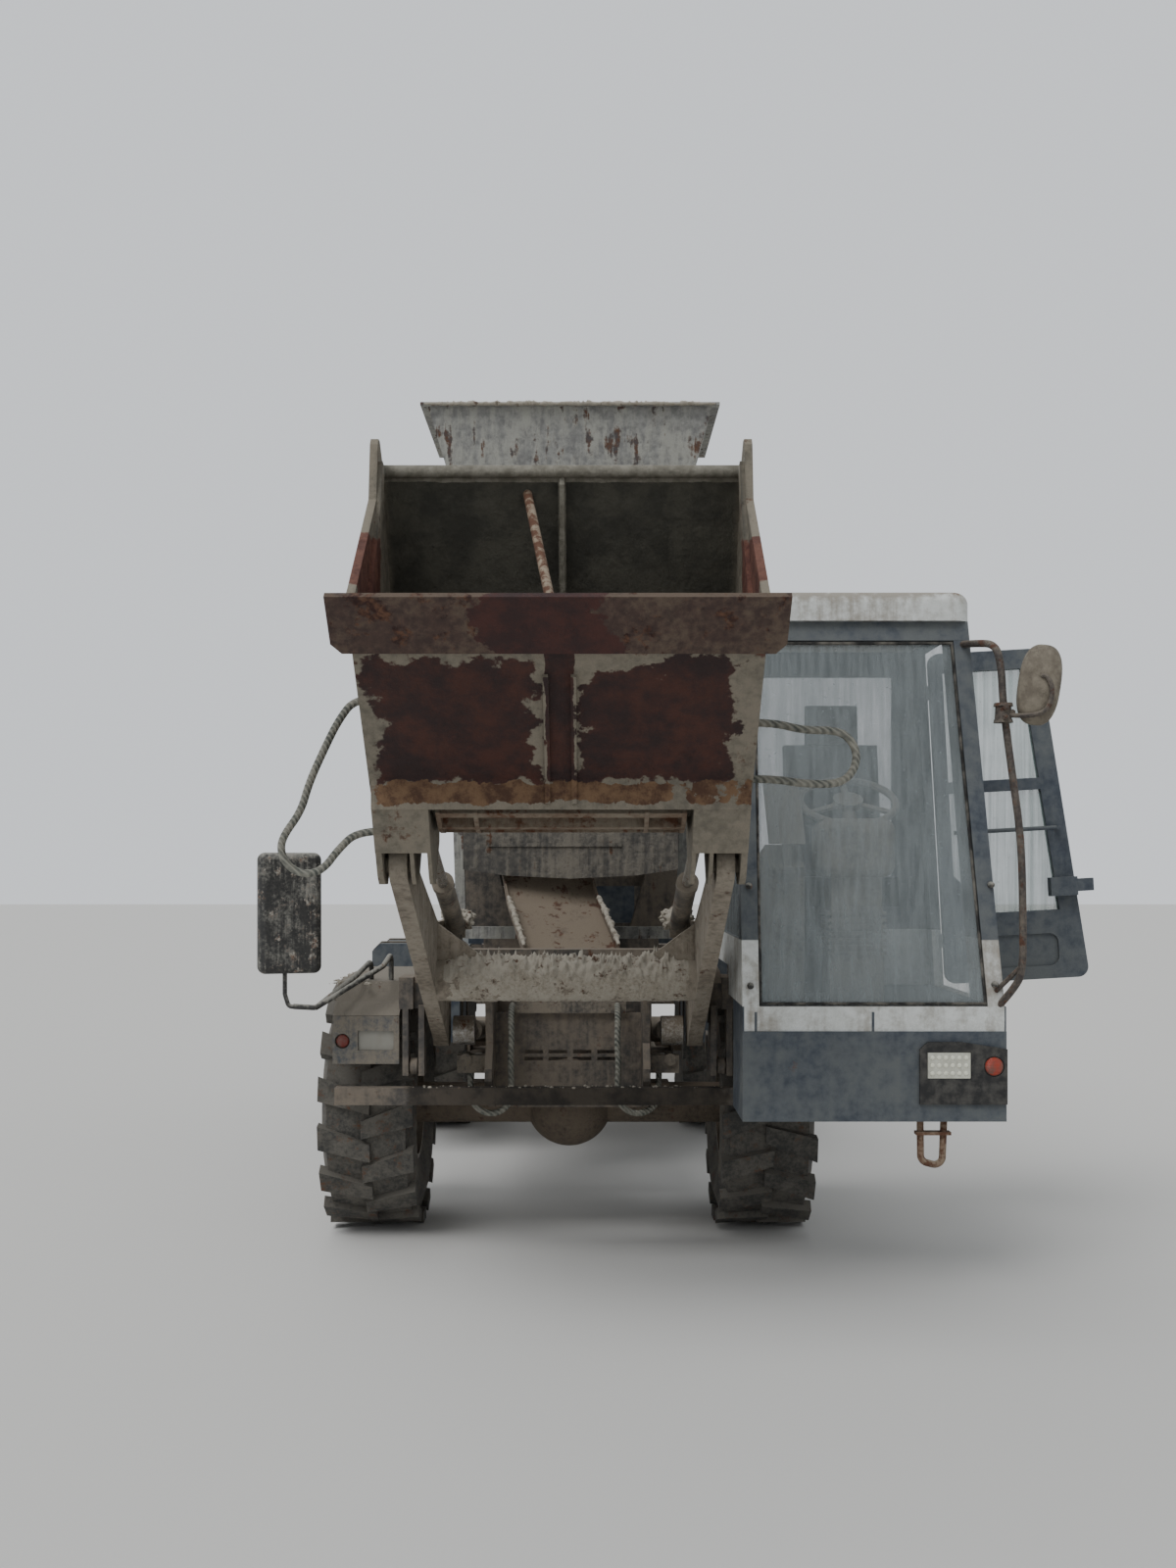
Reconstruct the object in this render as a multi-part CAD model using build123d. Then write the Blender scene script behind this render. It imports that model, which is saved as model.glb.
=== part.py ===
from build123d import *
import os
from math import acos, atan2, cos, degrees, hypot, pi, radians, sin, tan

# Articulated self-loading concrete mixer, in millimetres.
# Forward is -Y, up is +Z, +X is the machine's left side, where the cab stands.
# Sizes are given in the machine's own frame: X = 0 is the centreline, Y = 0 the
# front axle and Z = 0 the ground. Each node is moved once, when it is written,
# so that the origin lies below the middle of the whole machine.

# Place of the machine's frame
CENTRELINE_X = -510
FRONT_AXLE_Y = -700

# Wheels and axles
WHEELBASE = 2750
TRACK = 1704
TYRE_RADIUS = 537
TYRE_WIDTH = 405
LUG_HEIGHT = 30
LUG_COUNT = 16
RIM_RADIUS = 254
RIM_WIDTH = 340
AXLE_HEIGHT = TYRE_RADIUS
AXLE_TUBE_RADIUS = 95
HUB_RADIUS = 150

# Articulated frame
PIVOT_Y = 1375
PIVOT_PIN_RADIUS = 45
FRONT_RAIL_X = 330
RAIL_THICKNESS = 30
FRONT_RAIL_BOTTOM = 620
FRONT_RAIL_TOP = 930
FRONT_NOSE_Y = -590
NOSE_BEAM_BOTTOM = 620
NOSE_BEAM_TOP = 690
NOSE_BEAM_DEPTH = 60
FRONT_TAIL_Y = 1100
REAR_BEAM_X = 400
REAR_BEAM_WIDTH = 80
REAR_BEAM_BOTTOM = 1000
REAR_BEAM_TOP = 1240
REAR_BEAM_START = 780
TANK_FRONT_Y = 1500
TANK_REAR_Y = WHEELBASE - 650
CLEARANCE = 6

# Loader boom: places in the YZ plane
ARM_X = 535
ARM_THICKNESS = 60
BOOM_PIVOT = (-450, 1110)
BOOM_TOE = (-420, 905)
BUCKET_PIN = (-1930, 1610)
CROSS_TUBE = (-940, 1155)
CROSS_TUBE_RADIUS = 80
ARM_TIP_RADIUS = 68
PIN_RADIUS = 30

# Cylinders: base pin, rod eye, barrel and rod sizes
LIFT_X = 442
LIFT_BASE = (650, 800)
TILT_X = 455
TILT_BASE = (-600, 1330)
TILT_EYE = (BUCKET_PIN[0] + 110, BUCKET_PIN[1] + 100)
GATE_CYLINDER_X = 300
GATE_CYLINDER_BASE = (-1770, 2650)
GATE_HINGE = (-1585, 2075)
GATE_CYLINDER_EYE = (GATE_HINGE[0] + 80, GATE_HINGE[1] - 20)
STEER_HEIGHT = 640
STEER_BASE = (420, 800)
STEER_EYE = (400, 1950)

# Bucket: profile points in the YZ plane
BUCKET_HALF_WIDTH = 606
BUCKET_LIP = (-2646, 2372)
BUCKET_FLOOR_END = (-2144, 1870)
BUCKET_TOP = (-2020, 2890)
HEEL_CENTRE = (-1932, 2082)
HEEL_RADIUS = 300
BUCKET_WALL = 12
EAR_INNER = 420
EAR_OUTER = 600
GATE_HALF_WIDTH = 400
GATE_OPENING_HALF = 385
GATE_WALL = 12

# Cutting edge
EDGE_WIDTH = 1325
EDGE_DEPTH = 200
EDGE_THICKNESS = 20

# Cab
CAB_INNER_X = 660
CAB_OUTER_X = 1640
CAB_FRONT_Y = -1280
CAB_REAR_Y = -150
APRON_BOTTOM = 655
APRON_TOP = 990
CAB_FLOOR_TOP = 1082
CAB_TOP = 2550
ROOF_TOP = 2665
SCREEN_RAKE = 230
POST = 62
CAB_LEAN = 3.2
DOOR_HINGE_Y = -280
DOOR_WIDTH = 622
DOOR_TOP_WIDTH = 475
DOOR_BOTTOM = 1088
DOOR_TOP = 2530
DOOR_THICKNESS = 40
DOOR_OPEN_ANGLE = 90
GLASS = 6

# Drum
DRUM_REAR = (3350, 2150)
DRUM_TILT = 16
DRUM_LENGTH = 2700
DRUM_RADIUS = 950
DRUM_MOUTH_RADIUS = 480
DRUM_WALL = 8
DRUM_RING_STATION = 1900
DRUM_RING_RADIUS = 880
DRUM_RING_WIDTH = 90

# Hopper, collector and chute
HOPPER_TOP = 3805
HOPPER_FRONT_Y = 350
HOPPER_WIDTH = 1420
HOPPER_DEPTH = 900
HOPPER_WALL = 8
COLLECTOR_FRONT_Y = 480
COLLECTOR_BOTTOM = 1590
COLLECTOR_HALF_WIDTH = 520
CHUTE_PIVOT = (-130, 690)
CHUTE_WIDTH = 450
CHUTE_SLEW = 13

# Hoses and valves
HOSE_RADIUS = 13
HOSE_BEND = 88
MANIFOLD_FACE_Y = -332
MANIFOLD_PORT_Z = 1004
VALVE_BOTTOM = 725

# Rear deck
HOOD_FRONT_Y = 3500
HOOD_REAR_Y = 3945
HOOD_HALF_WIDTH = 385
HOOD_TOP = 1700
HOOD_BOTTOM = REAR_BEAM_TOP + 0.3
HOOD_WALL = 4
TOW_PIN_Y = 3990


def box(x0, x1, y0, y1, z0, z1):
    """A block between two corners."""
    middle = ((x0 + x1) / 2, (y0 + y1) / 2, (z0 + z1) / 2)
    return Pos(*middle) * Box(abs(x1 - x0), abs(y1 - y0), abs(z1 - z0))


def slab_x(points, x0, x1):
    """A profile of (y, z) points, as thick as from x0 to x1."""
    plane = Plane(origin=(x0, 0, 0), x_dir=(0, 1, 0), z_dir=(1, 0, 0))
    return extrude(plane * Polygon(*points, align=None), x1 - x0, dir=(1, 0, 0))


def slab_y(points, y0, y1):
    """A profile of (x, z) points, as thick as from y0 to y1."""
    plane = Plane(origin=(0, y0, 0), x_dir=(1, 0, 0), z_dir=(0, -1, 0))
    return extrude(plane * Polygon(*points, align=None), y1 - y0, dir=(0, 1, 0))


def slab_z(points, z0, z1):
    """A profile of (x, y) points, as thick as from z0 to z1."""
    return extrude(Plane.XY.offset(z0) * Polygon(*points, align=None), z1 - z0, dir=(0, 0, 1))


def bar_x(x0, x1, y, z, radius):
    """A round bar along X."""
    middle = Pos((x0 + x1) / 2, y, z)
    return middle * Rot(0, 90, 0) * Cylinder(radius, abs(x1 - x0))


def bar_y(y0, y1, x, z, radius):
    """A round bar along Y."""
    return Pos(x, (y0 + y1) / 2, z) * Rot(90, 0, 0) * Cylinder(radius, abs(y1 - y0))


def bar_z(z0, z1, x, y, radius):
    """A round bar along Z."""
    return Pos(x, y, (z0 + z1) / 2) * Cylinder(radius, abs(z1 - z0))


def bar_between(start, end, radius):
    """A round bar from one point to another."""
    direction = Vector(*end) - Vector(*start)
    plane = Plane(origin=start, z_dir=direction)
    return extrude(plane * Circle(radius), direction.length)


def bent_bar(points, radius, bend):
    """A round bar along straight runs with tangent bends."""
    path = FilletPolyline(*points, radius=bend)
    return sweep(Plane(origin=path @ 0, z_dir=path % 0) * Circle(radius), path=path)


def flat_sided(sections):
    """A solid from one polygon to the next, with flat sides and ends.

    Each section lists the same number of corners in the same order.
    """
    ends = [sections[0], sections[-1]]
    faces = [Face(Wire.make_polygon([Vector(*corner) for corner in end], close=True)) for end in ends]
    for here, there in zip(sections, sections[1:]):
        for number in range(len(here)):
            corners = [here[number - 1], here[number], there[number], there[number - 1]]
            faces.append(Face(Wire.make_polygon([Vector(*corner) for corner in corners], close=True)))
    solid = Solid(Shell(faces))
    return solid if solid.volume > 0 else -solid


def both_sides(shape):
    """A piece and its mirror image across the centreline."""
    return [shape, mirror(shape, about=Plane.YZ)]


def turned_z(shape, pivot, angle):
    """A piece turned about an upright pin at (x, y)."""
    there = Pos(pivot[0], pivot[1], 0)
    return there * Rot(0, 0, angle) * there.inverse() * shape


def joined(pieces):
    """Pieces welded into one solid."""
    return pieces[0].fuse(*pieces[1:]).clean()


def largest(shape):
    """The largest solid of a shape that a cut has divided."""
    return max(shape.solids(), key=lambda solid: solid.volume)


def write_node(name, pieces):
    """Moves a node to its place and writes it; a list stays separate solids."""
    solids = []
    for piece in pieces if isinstance(pieces, (list, tuple)) else [pieces]:
        solids += (Pos(CENTRELINE_X, FRONT_AXLE_Y, 0) * piece).solids()
    whole = solids[0] if len(solids) == 1 else Compound(children=solids)
    whole.label = name
    export_step(whole, f"parts/{name}.step")


# Wheels


def tyre():
    """A loader tyre about the X axis: a carcass of flats, a bar on each flat."""
    bead = RIM_RADIUS
    base = TYRE_RADIUS - LUG_HEIGHT
    half = TYRE_WIDTH / 2
    # Stations across the tyre: (offset from the middle, radius to a corner)
    stations = [
        (-half + 40, bead + 14),
        (-half, base - 110),
        (-half + 36, base),
    ]
    stations += [(-offset, radius) for offset, radius in reversed(stations)]
    flats = 2 * LUG_COUNT
    angles = [pi * (2 * number + 1) / flats for number in range(flats)]
    rings = []
    for offset, radius in stations:
        rings.append([(offset, radius * sin(angle), radius * cos(angle)) for angle in angles])
    carcass = flat_sided(rings)
    bore = [((bead + 1.3) * sin(angle), (bead + 1.3) * cos(angle)) for angle in angles]
    carcass -= slab_x(bore, -half, half)
    # One bar: from the shoulder block slantwise past the middle of the tread,
    # its corners on the outer radius.
    pitch = 2 * pi * TYRE_RADIUS / LUG_COUNT
    bar = [
        (-half + 2, -0.38 * pitch),
        (-half + 2, 0.12 * pitch),
        (18, 0.38 * pitch),
        (18, 0.02 * pitch),
    ]
    top = (TYRE_RADIUS**2 - (0.38 * pitch) ** 2) ** 0.5
    lug = slab_z(bar, base - 26, top)
    step = 360 / LUG_COUNT
    lugs = []
    for number in range(LUG_COUNT):
        lugs.append(Rot(number * step, 0, 0) * lug)
        lugs.append(Rot((number + 0.5) * step, 0, 0) * mirror(lug, about=Plane.YZ))
    return carcass.fuse(*lugs)


def rim():
    """A dished steel rim about the X axis, its disc towards +X."""
    outer = RIM_RADIUS - 0.3
    half = RIM_WIDTH / 2
    profile = [
        (outer - 22, -half),
        (outer, -half),
        (outer, half),
        (outer - 22, half),
        (outer - 22, 70),
        (HUB_RADIUS + 5, 40),
        (HUB_RADIUS + 5, 110),
        (60, 128),
        (0, 128),
        (0, 20),
        (outer - 22, 20),
    ]
    return Rot(0, 90, 0) * revolve(Plane.XZ * Polygon(*profile, align=None), Axis.Z)


# Front frame


def front_chassis():
    """Two rails with a slotted front plate, cross members and the hinge plates."""
    inner = FRONT_RAIL_X - RAIL_THICKNESS / 2
    outer = FRONT_RAIL_X + RAIL_THICKNESS / 2
    rail = slab_x(
        [
            (FRONT_NOSE_Y, NOSE_BEAM_BOTTOM),
            (FRONT_NOSE_Y, 760),
            (FRONT_NOSE_Y + 80, 860),
            (BOOM_PIVOT[0] - 110, BOOM_PIVOT[1] - 60),
            (BOOM_PIVOT[0] - 60, BOOM_PIVOT[1] + 80),
            (BOOM_PIVOT[0] + 60, BOOM_PIVOT[1] + 80),
            (-100, 1060),
            (300, FRONT_RAIL_TOP),
            (FRONT_TAIL_Y, FRONT_RAIL_TOP),
            (FRONT_TAIL_Y, FRONT_RAIL_BOTTOM - 50),
            (300, FRONT_RAIL_BOTTOM - 20),
            (120, AXLE_HEIGHT + AXLE_TUBE_RADIUS),
            (-160, AXLE_HEIGHT + AXLE_TUBE_RADIUS),
            (-300, 560),
        ],
        inner,
        outer,
    )
    # Room for the steering cylinders, which swing inwards through the rails
    room = box(inner - 25, outer + 1, 890, FRONT_TAIL_Y + 1, STEER_HEIGHT - 46, STEER_HEIGHT + 46)
    rooms = both_sides(room)
    pieces = both_sides(rail - room)
    # The dark front plate with two pairs of slots
    panel = box(-inner, inner, -310, -298, 560, 970)
    for x in (-150, -45, 60, 165):
        panel -= box(x - 40, x + 40, -320, -290, 762, 778)
        panel -= box(x - 40, x + 40, -320, -290, 792, 808)
    pieces.append(panel)
    # Cross members: above the axle, ahead of the hinge, and the boom's beam
    pieces.append(box(-inner, inner, 320, 340, 640, 920))
    pieces.append(box(-inner, inner, 1040, 1060, 575, 925) - rooms[0] - rooms[1])
    pieces.append(box(-inner, inner, -150, -30, 960, 1050))
    # Hinge plates in plan, above and below the rear frame's hinge block
    hinge = [
        (-outer, 1000),
        (-outer, FRONT_TAIL_Y),
        (-95, PIVOT_Y + 40),
        (-60, PIVOT_Y + 95),
        (60, PIVOT_Y + 95),
        (95, PIVOT_Y + 40),
        (outer, FRONT_TAIL_Y),
        (outer, 1000),
    ]
    lower = slab_z(hinge, 565, 595)
    upper = slab_z(hinge, 880, 910)
    pieces += [lower, upper]
    pieces.append(bar_z(560, 925, 0, PIVOT_Y, PIVOT_PIN_RADIUS))
    # Nose beam under the fender and the cab
    front = FRONT_NOSE_Y - NOSE_BEAM_DEPTH
    pieces.append(box(-960, 1180, front, FRONT_NOSE_Y, NOSE_BEAM_BOTTOM, NOSE_BEAM_TOP))
    # Boom pivots: a pin through each rail, and an outer cheek on a beam
    cheek_in = ARM_X + ARM_THICKNESS / 2 + 12
    cheek = slab_x(
        [
            (-610, 1015),
            (-610, 1120),
            (-560, 1165),
            (-350, 1185),
            (-150, 1235),
            (-30, 1235),
            (-30, 1112),
            (-330, 1015),
        ],
        cheek_in,
        cheek_in + 60,
    )
    pin = bar_x(inner, cheek_in + 75, *BOOM_PIVOT, PIN_RADIUS + 8)
    pieces += both_sides(cheek) + both_sides(pin)
    beam = box(-cheek_in - 60, cheek_in + 60, -150, -30, 1112, 1235)
    pieces.append(beam)
    pieces += both_sides(box(inner, outer, -150, -30, 1000, 1130))
    # Caked blocks outside the cheeks, and the forks that hang from them
    block = box(cheek_in + 60, cheek_in + 118, -640, -420, 1015, 1145)
    fork = joined(
        [
            box(cheek_in + 14, cheek_in + 38, -640, -560, 740, 1030),
            box(cheek_in + 80, cheek_in + 104, -640, -560, 740, 1030),
            bar_x(cheek_in + 14, cheek_in + 104, -600, 775, 18),
            bar_x(cheek_in + 45, cheek_in + 73, -600, 775, 34),
        ]
    )
    pieces += both_sides(block) + both_sides(fork)
    # Lift cylinder brackets outside the rails, with their pins
    for side in (LIFT_X - 62, LIFT_X + 50):
        bracket = slab_x([(560, 700), (740, 700), (720, 860), (580, 860)], side, side + 12)
        pieces += both_sides(bracket)
    shelf = box(outer - 5, LIFT_X + 62, 560, 740, 690, 702)
    pieces += both_sides(shelf)
    pieces += both_sides(bar_x(outer - 5, LIFT_X + 66, *LIFT_BASE, PIN_RADIUS))
    # Steering cylinder brackets outside the rails, with their pins
    for z in (STEER_HEIGHT - 52, STEER_HEIGHT + 40):
        pieces += both_sides(box(outer - 5, STEER_BASE[0] + 45, 755, 845, z, z + 12))
    pin = bar_z(STEER_HEIGHT - 56, STEER_HEIGHT + 56, *STEER_BASE, PIN_RADIUS - 6)
    pieces += both_sides(pin)
    return joined(pieces)


def axle(y):
    """A planetary axle at the place y, with seats that suit both frames."""
    hub_face = TRACK / 2 + 19.5
    half = hub_face - 140
    pieces = [
        bar_x(-half, half, 0, AXLE_HEIGHT, AXLE_TUBE_RADIUS - 5),
        Pos(0, 0, AXLE_HEIGHT) * Sphere(195),
        bar_y(-20, 300, 0, AXLE_HEIGHT + 20, 60),
    ]
    for side in (-1, 1):
        face = side * hub_face
        pieces.append(bar_x(side * half, face, 0, AXLE_HEIGHT, HUB_RADIUS - 10))
        pieces.append(bar_x(side * (half - 30), side * half, 0, AXLE_HEIGHT, HUB_RADIUS + 20))
        top = AXLE_HEIGHT + AXLE_TUBE_RADIUS - 0.3
        pieces.append(box(side * 290, side * 450, -75, 75, AXLE_HEIGHT + 30, top))
    return Pos(0, y, 0) * joined(pieces)


def right_fender():
    """The plated box over the right front wheel, with its lamp pockets."""
    top = [(-620, 986), (-540, 1040), (-470, 1118), (330, 1130), (330, 1118), (-460, 1106)]
    deck = slab_x(top + [(-530, 1020), (-600, 974)], -972, -655)
    face = box(-972, -655, -620, -612, 786, 984)
    face -= bar_y(-630, -600, -932.5, 880, 31)
    face -= box(-868, -720, -630, -600, 842, 922)
    side = slab_x(
        [(-620, 786), (-620, 986), (-540, 1040), (-470, 1118), (-430, 1112), (-540, 786)], -663, -655,
    )
    outer = slab_x(
        [(-620, 786), (-620, 986), (-540, 1040), (-470, 1118), (-430, 1112), (-540, 786)], -972, -964,
    )
    pockets = box(-880, -708, -612, -575, 832, 932) - box(-868, -720, -620, -585, 842, 922)
    cup = bar_y(-612, -585, -932.5, 880, 38) - bar_y(-630, -592, -932.5, 880, 31)
    stay = box(-660, -ARM_X - ARM_THICKNESS / 2 - 72.5, -140, -60, 1112, 1124)
    fender = joined([deck, face, side, outer, pockets, cup, stay])
    return largest(fender - box(-697, -630, -680, -400, 700, 1150))


# Cab


def screen_y(z):
    """The front of the cab at a height: upright sill, then raked back."""
    share = max(0, (z - CAB_FLOOR_TOP) / (CAB_TOP - CAB_FLOOR_TOP))
    return CAB_FRONT_Y + SCREEN_RAKE * share


def leaned(shape):
    """The outer side of the cab leans inward about its foot."""
    foot = Pos(CAB_OUTER_X, 0, APRON_TOP)
    return foot * Rot(0, -CAB_LEAN, 0) * foot.inverse() * shape


def wheel_arch(radius, x0, x1):
    """The round space over the wheel under the cab."""
    return bar_x(x0, x1, 0, AXLE_HEIGHT, radius)


def cab_floor():
    """Apron, floor and wheel arch under the cab, standing on the nose beam."""
    inner = CAB_INNER_X
    outer = CAB_OUTER_X
    front = CAB_FRONT_Y
    arch_x = 1083
    floor = box(inner, outer, front + 42, CAB_REAR_Y, CAB_FLOOR_TOP - 42, CAB_FLOOR_TOP)
    pieces = [
        box(inner, outer, front - 6, front, APRON_BOTTOM, APRON_TOP),
        box(inner, outer, front - 6, front + 110, APRON_BOTTOM, APRON_BOTTOM + 6),
        box(inner, outer, front, front + 42, APRON_TOP - 6, APRON_TOP),
        box(inner, outer, front + 36, front + 42, APRON_TOP - 6, CAB_FLOOR_TOP),
        box(outer - 6, outer, front, CAB_REAR_Y, APRON_BOTTOM + 60, CAB_FLOOR_TOP),
        box(arch_x - 8, outer, CAB_REAR_Y - 6, CAB_REAR_Y, APRON_BOTTOM + 60, CAB_FLOOR_TOP),
        box(inner, inner + 6, front, -900, APRON_BOTTOM, CAB_FLOOR_TOP),
        box(704, 714, front, FRONT_NOSE_Y, NOSE_BEAM_TOP, CAB_FLOOR_TOP - 20),
        box(1140, 1150, front, FRONT_NOSE_Y, NOSE_BEAM_TOP, CAB_FLOOR_TOP - 20),
        box(arch_x - 8, arch_x, -600, CAB_REAR_Y, 800, CAB_FLOOR_TOP),
    ]
    space = box(704, arch_x, -620, CAB_REAR_Y, 900, 1200)
    cover = wheel_arch(583, inner, arch_x) & space
    end = box(arch_x - 8, arch_x, -620, CAB_REAR_Y, 900, 1200) & wheel_arch(583, 600, 1200)
    body = joined([floor, cover, end] + pieces)
    body -= wheel_arch(575, 500, arch_x - 8)
    # Notch beside the boom's pivot block
    body -= box(inner - 1, 703, -900, CAB_REAR_Y + 1, 600, 1200)
    return body


def cab_frame():
    """Posts, sill, headers and walls of the cab, with the window openings."""
    inner = CAB_INNER_X
    outer = CAB_OUTER_X
    rear = CAB_REAR_Y
    sill = APRON_TOP
    floor = CAB_FLOOR_TOP
    side = [
        (CAB_FRONT_Y, sill),
        (CAB_FRONT_Y, floor),
        (screen_y(CAB_TOP), CAB_TOP),
        (rear, CAB_TOP),
        (rear, floor),
        (CAB_FRONT_Y + 36, floor),
        (CAB_FRONT_Y + 36, sill),
    ]
    post = [
        (CAB_FRONT_Y, sill),
        (CAB_FRONT_Y, floor),
        (screen_y(CAB_TOP), CAB_TOP),
        (screen_y(CAB_TOP) + POST, CAB_TOP),
        (CAB_FRONT_Y + POST, floor),
        (CAB_FRONT_Y + 36, floor),
        (CAB_FRONT_Y + 36, sill),
    ]
    inner_window = [
        (screen_y(1330) + 95, 1330),
        (screen_y(2460) + 95, 2460),
        (rear - 95, 2460),
        (rear - 95, 1330),
    ]
    inner_wall = slab_x(side, inner, inner + 30) - slab_x(inner_window, inner - 5, inner + 35)
    inner_wall += slab_x(post, inner, inner + POST)
    outer_wall = slab_x(side, outer - DOOR_THICKNESS, outer)
    outer_wall -= slab_x(door_opening(), outer - 60, outer + 10)
    outer_wall += slab_x(post, outer - POST, outer)
    outer_wall = leaned(outer_wall)
    header = slab_x(
        [
            (screen_y(CAB_TOP - 75), CAB_TOP - 75),
            (screen_y(CAB_TOP), CAB_TOP),
            (screen_y(CAB_TOP) + POST, CAB_TOP),
            (screen_y(CAB_TOP - 75) + POST, CAB_TOP - 75),
        ],
        inner,
        outer - 30,
    )
    rear_wall = box(inner, outer, rear - 30, rear, floor, CAB_TOP)
    rear_wall -= box(inner + 110, outer - 210, rear - 40, rear + 5, 1560, 2440)
    front_sill = box(inner, outer, CAB_FRONT_Y, CAB_FRONT_Y + 36, sill, floor)
    outside = leaned(box(outer, outer + 300, -1500, 100, 800, 2800))
    high = box(500, 1800, -1500, 100, CAB_TOP, 2800)
    frame = joined([inner_wall, rear_wall, header, front_sill, outer_wall])
    frame -= outside
    frame -= high
    frame -= box(inner, outer + 60, CAB_FRONT_Y + 36, rear + 60, sill - 60, floor)
    frame -= box(inner, outer + 60, CAB_FRONT_Y - 60, rear + 60, sill - 60, sill)
    # Notch beside the boom's pivot block
    frame -= box(inner - 1, 703, -700, rear + 1, 900, 1200)
    # Plates that close the notch
    frame += box(703, 709, -706, rear - 30, floor, 1206)
    frame += box(inner + 30, 709, -706, rear - 30, 1200, 1206)
    frame += box(inner + 30, 709, -706, -700, floor, 1206)
    for knuckle in door_knuckles(12, 0):
        frame += leaned(knuckle)
    return largest(frame - cab_floor())


def door_opening():
    """The door's opening in the outer side, before it leans: (y, z) corners."""
    gap = CLEARANCE
    return [
        (DOOR_HINGE_Y, DOOR_BOTTOM),
        (DOOR_HINGE_Y - 2 * gap - DOOR_WIDTH, DOOR_BOTTOM),
        (DOOR_HINGE_Y - 2 * gap - DOOR_TOP_WIDTH, DOOR_TOP),
        (DOOR_HINGE_Y, DOOR_TOP),
    ]


def cab_roof():
    """A pressed roof with round corners, open below."""
    outer = CAB_OUTER_X - tan(radians(CAB_LEAN)) * (CAB_TOP - APRON_TOP) + 8
    front = screen_y(CAB_TOP) - 26
    shell = box(CAB_INNER_X - 8, outer, front, CAB_REAR_Y + 14, CAB_TOP, ROOF_TOP)
    shell = fillet(shell.edges().filter_by(Axis.Z), 70)
    shell = fillet(shell.faces().sort_by(Axis.Z)[-1].edges(), 48)
    hollow = box(CAB_INNER_X + 40, outer - 50, front + 60, CAB_REAR_Y - 40, CAB_TOP, ROOF_TOP - 40)
    return shell - hollow


def cab_windows():
    """Windscreen, inner side pane and rear pane, each in its opening."""
    frame = cab_frame()
    lift = 16
    screen = slab_x(
        [
            (CAB_FRONT_Y + lift, CAB_FLOOR_TOP),
            (screen_y(CAB_TOP - 75) + lift, CAB_TOP - 75),
            (screen_y(CAB_TOP - 75) + lift + GLASS, CAB_TOP - 75),
            (CAB_FRONT_Y + lift + GLASS, CAB_FLOOR_TOP),
        ],
        CAB_INNER_X + POST,
        CAB_OUTER_X - 20,
    )
    screen -= leaned(box(CAB_OUTER_X - POST, CAB_OUTER_X + 300, -1500, 100, 800, 2800))
    inner_pane = slab_x(
        [
            (screen_y(1330) + 95, 1330),
            (screen_y(2460) + 95, 2460),
            (CAB_REAR_Y - 95, 2460),
            (CAB_REAR_Y - 95, 1330),
        ],
        CAB_INNER_X + 10,
        CAB_INNER_X + 10 + GLASS,
    )
    rear_pane = box(
        CAB_INNER_X + 110, CAB_OUTER_X - 210, CAB_REAR_Y - 16, CAB_REAR_Y - 16 + GLASS, 1560, 2440
    )
    return [screen - frame, inner_pane, rear_pane]


def door_knuckles(radius, play):
    """Round knuckles on the door's hinge line, as long as the play allows."""
    line_y = DOOR_HINGE_Y - 3
    return [bar_z(z - play, z + 60 + play, CAB_OUTER_X, line_y, radius) for z in (1250, 2330)]


def swung_open(shape):
    """The door as it stands, swung out about its leaning hinge."""
    hinge = Pos(CAB_OUTER_X, DOOR_HINGE_Y - 3, 0)
    return leaned(hinge * Rot(0, 0, DOOR_OPEN_ANGLE) * hinge.inverse() * shape)


def door_outline(inset):
    """The door's corners as (y, z), drawn in by an inset."""
    rear = DOOR_HINGE_Y - CLEARANCE - inset
    low = DOOR_BOTTOM + CLEARANCE + inset
    high = DOOR_TOP - CLEARANCE - inset
    front = rear + inset * 2
    return [
        (rear, low),
        (front - DOOR_WIDTH, low),
        (front - DOOR_TOP_WIDTH, high),
        (rear, high),
    ]


def door_panes():
    """The door's two window openings as (y, z) corners."""
    rear = DOOR_HINGE_Y - 62
    front_low = DOOR_HINGE_Y - DOOR_WIDTH + 78
    slope = (DOOR_WIDTH - DOOR_TOP_WIDTH) / (DOOR_TOP - DOOR_BOTTOM)
    edge = [front_low + slope * (z - DOOR_BOTTOM) for z in (1390, 1915, 1965, 2440)]
    upper = [(rear, 1965), (edge[2], 1965), (edge[3], 2440), (rear, 2440)]
    lower = [(rear, 1560), (rear - 165, 1390), (edge[0], 1390), (edge[1], 1915), (rear, 1915)]
    return upper, lower


def cab_door():
    """Door frame with its two window openings, hinges, lock and grab bar."""
    outer = CAB_OUTER_X
    inner = outer - DOOR_THICKNESS
    blank = slab_x(door_outline(0), inner, outer)
    blank = fillet(blank.edges().filter_by(Axis.X), 45)
    upper, lower = door_panes()
    blank -= slab_x(upper, inner - 5, outer + 5)
    blank -= slab_x(lower, inner - 5, outer + 5)
    # Pressed recess on the inside below the window
    recess = box(inner - 1, inner + 12, -780, -345, 1150, 1290)
    blank -= fillet(recess.edges().filter_by(Axis.X), 40)
    free = DOOR_HINGE_Y - DOOR_WIDTH
    lock = box(inner - 50, inner + 1, free + 40, free + 155, 1450, 1530)
    catch = box(inner - 44, inner - 10, free - 30, free + 41, 1466, 1520)
    grab = bar_y(-800, -360, inner - 32, 1745, 9)
    stems = [
        box(inner - 41, inner + 1, -372, -354, 1736, 1754),
        box(inner - 41, inner + 1, -806, -788, 1736, 1754),
    ]
    for notch in door_knuckles(12.3, 0.3):
        blank -= notch
    pieces = [blank, lock, catch, grab] + stems
    return swung_open(joined(pieces))


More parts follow.
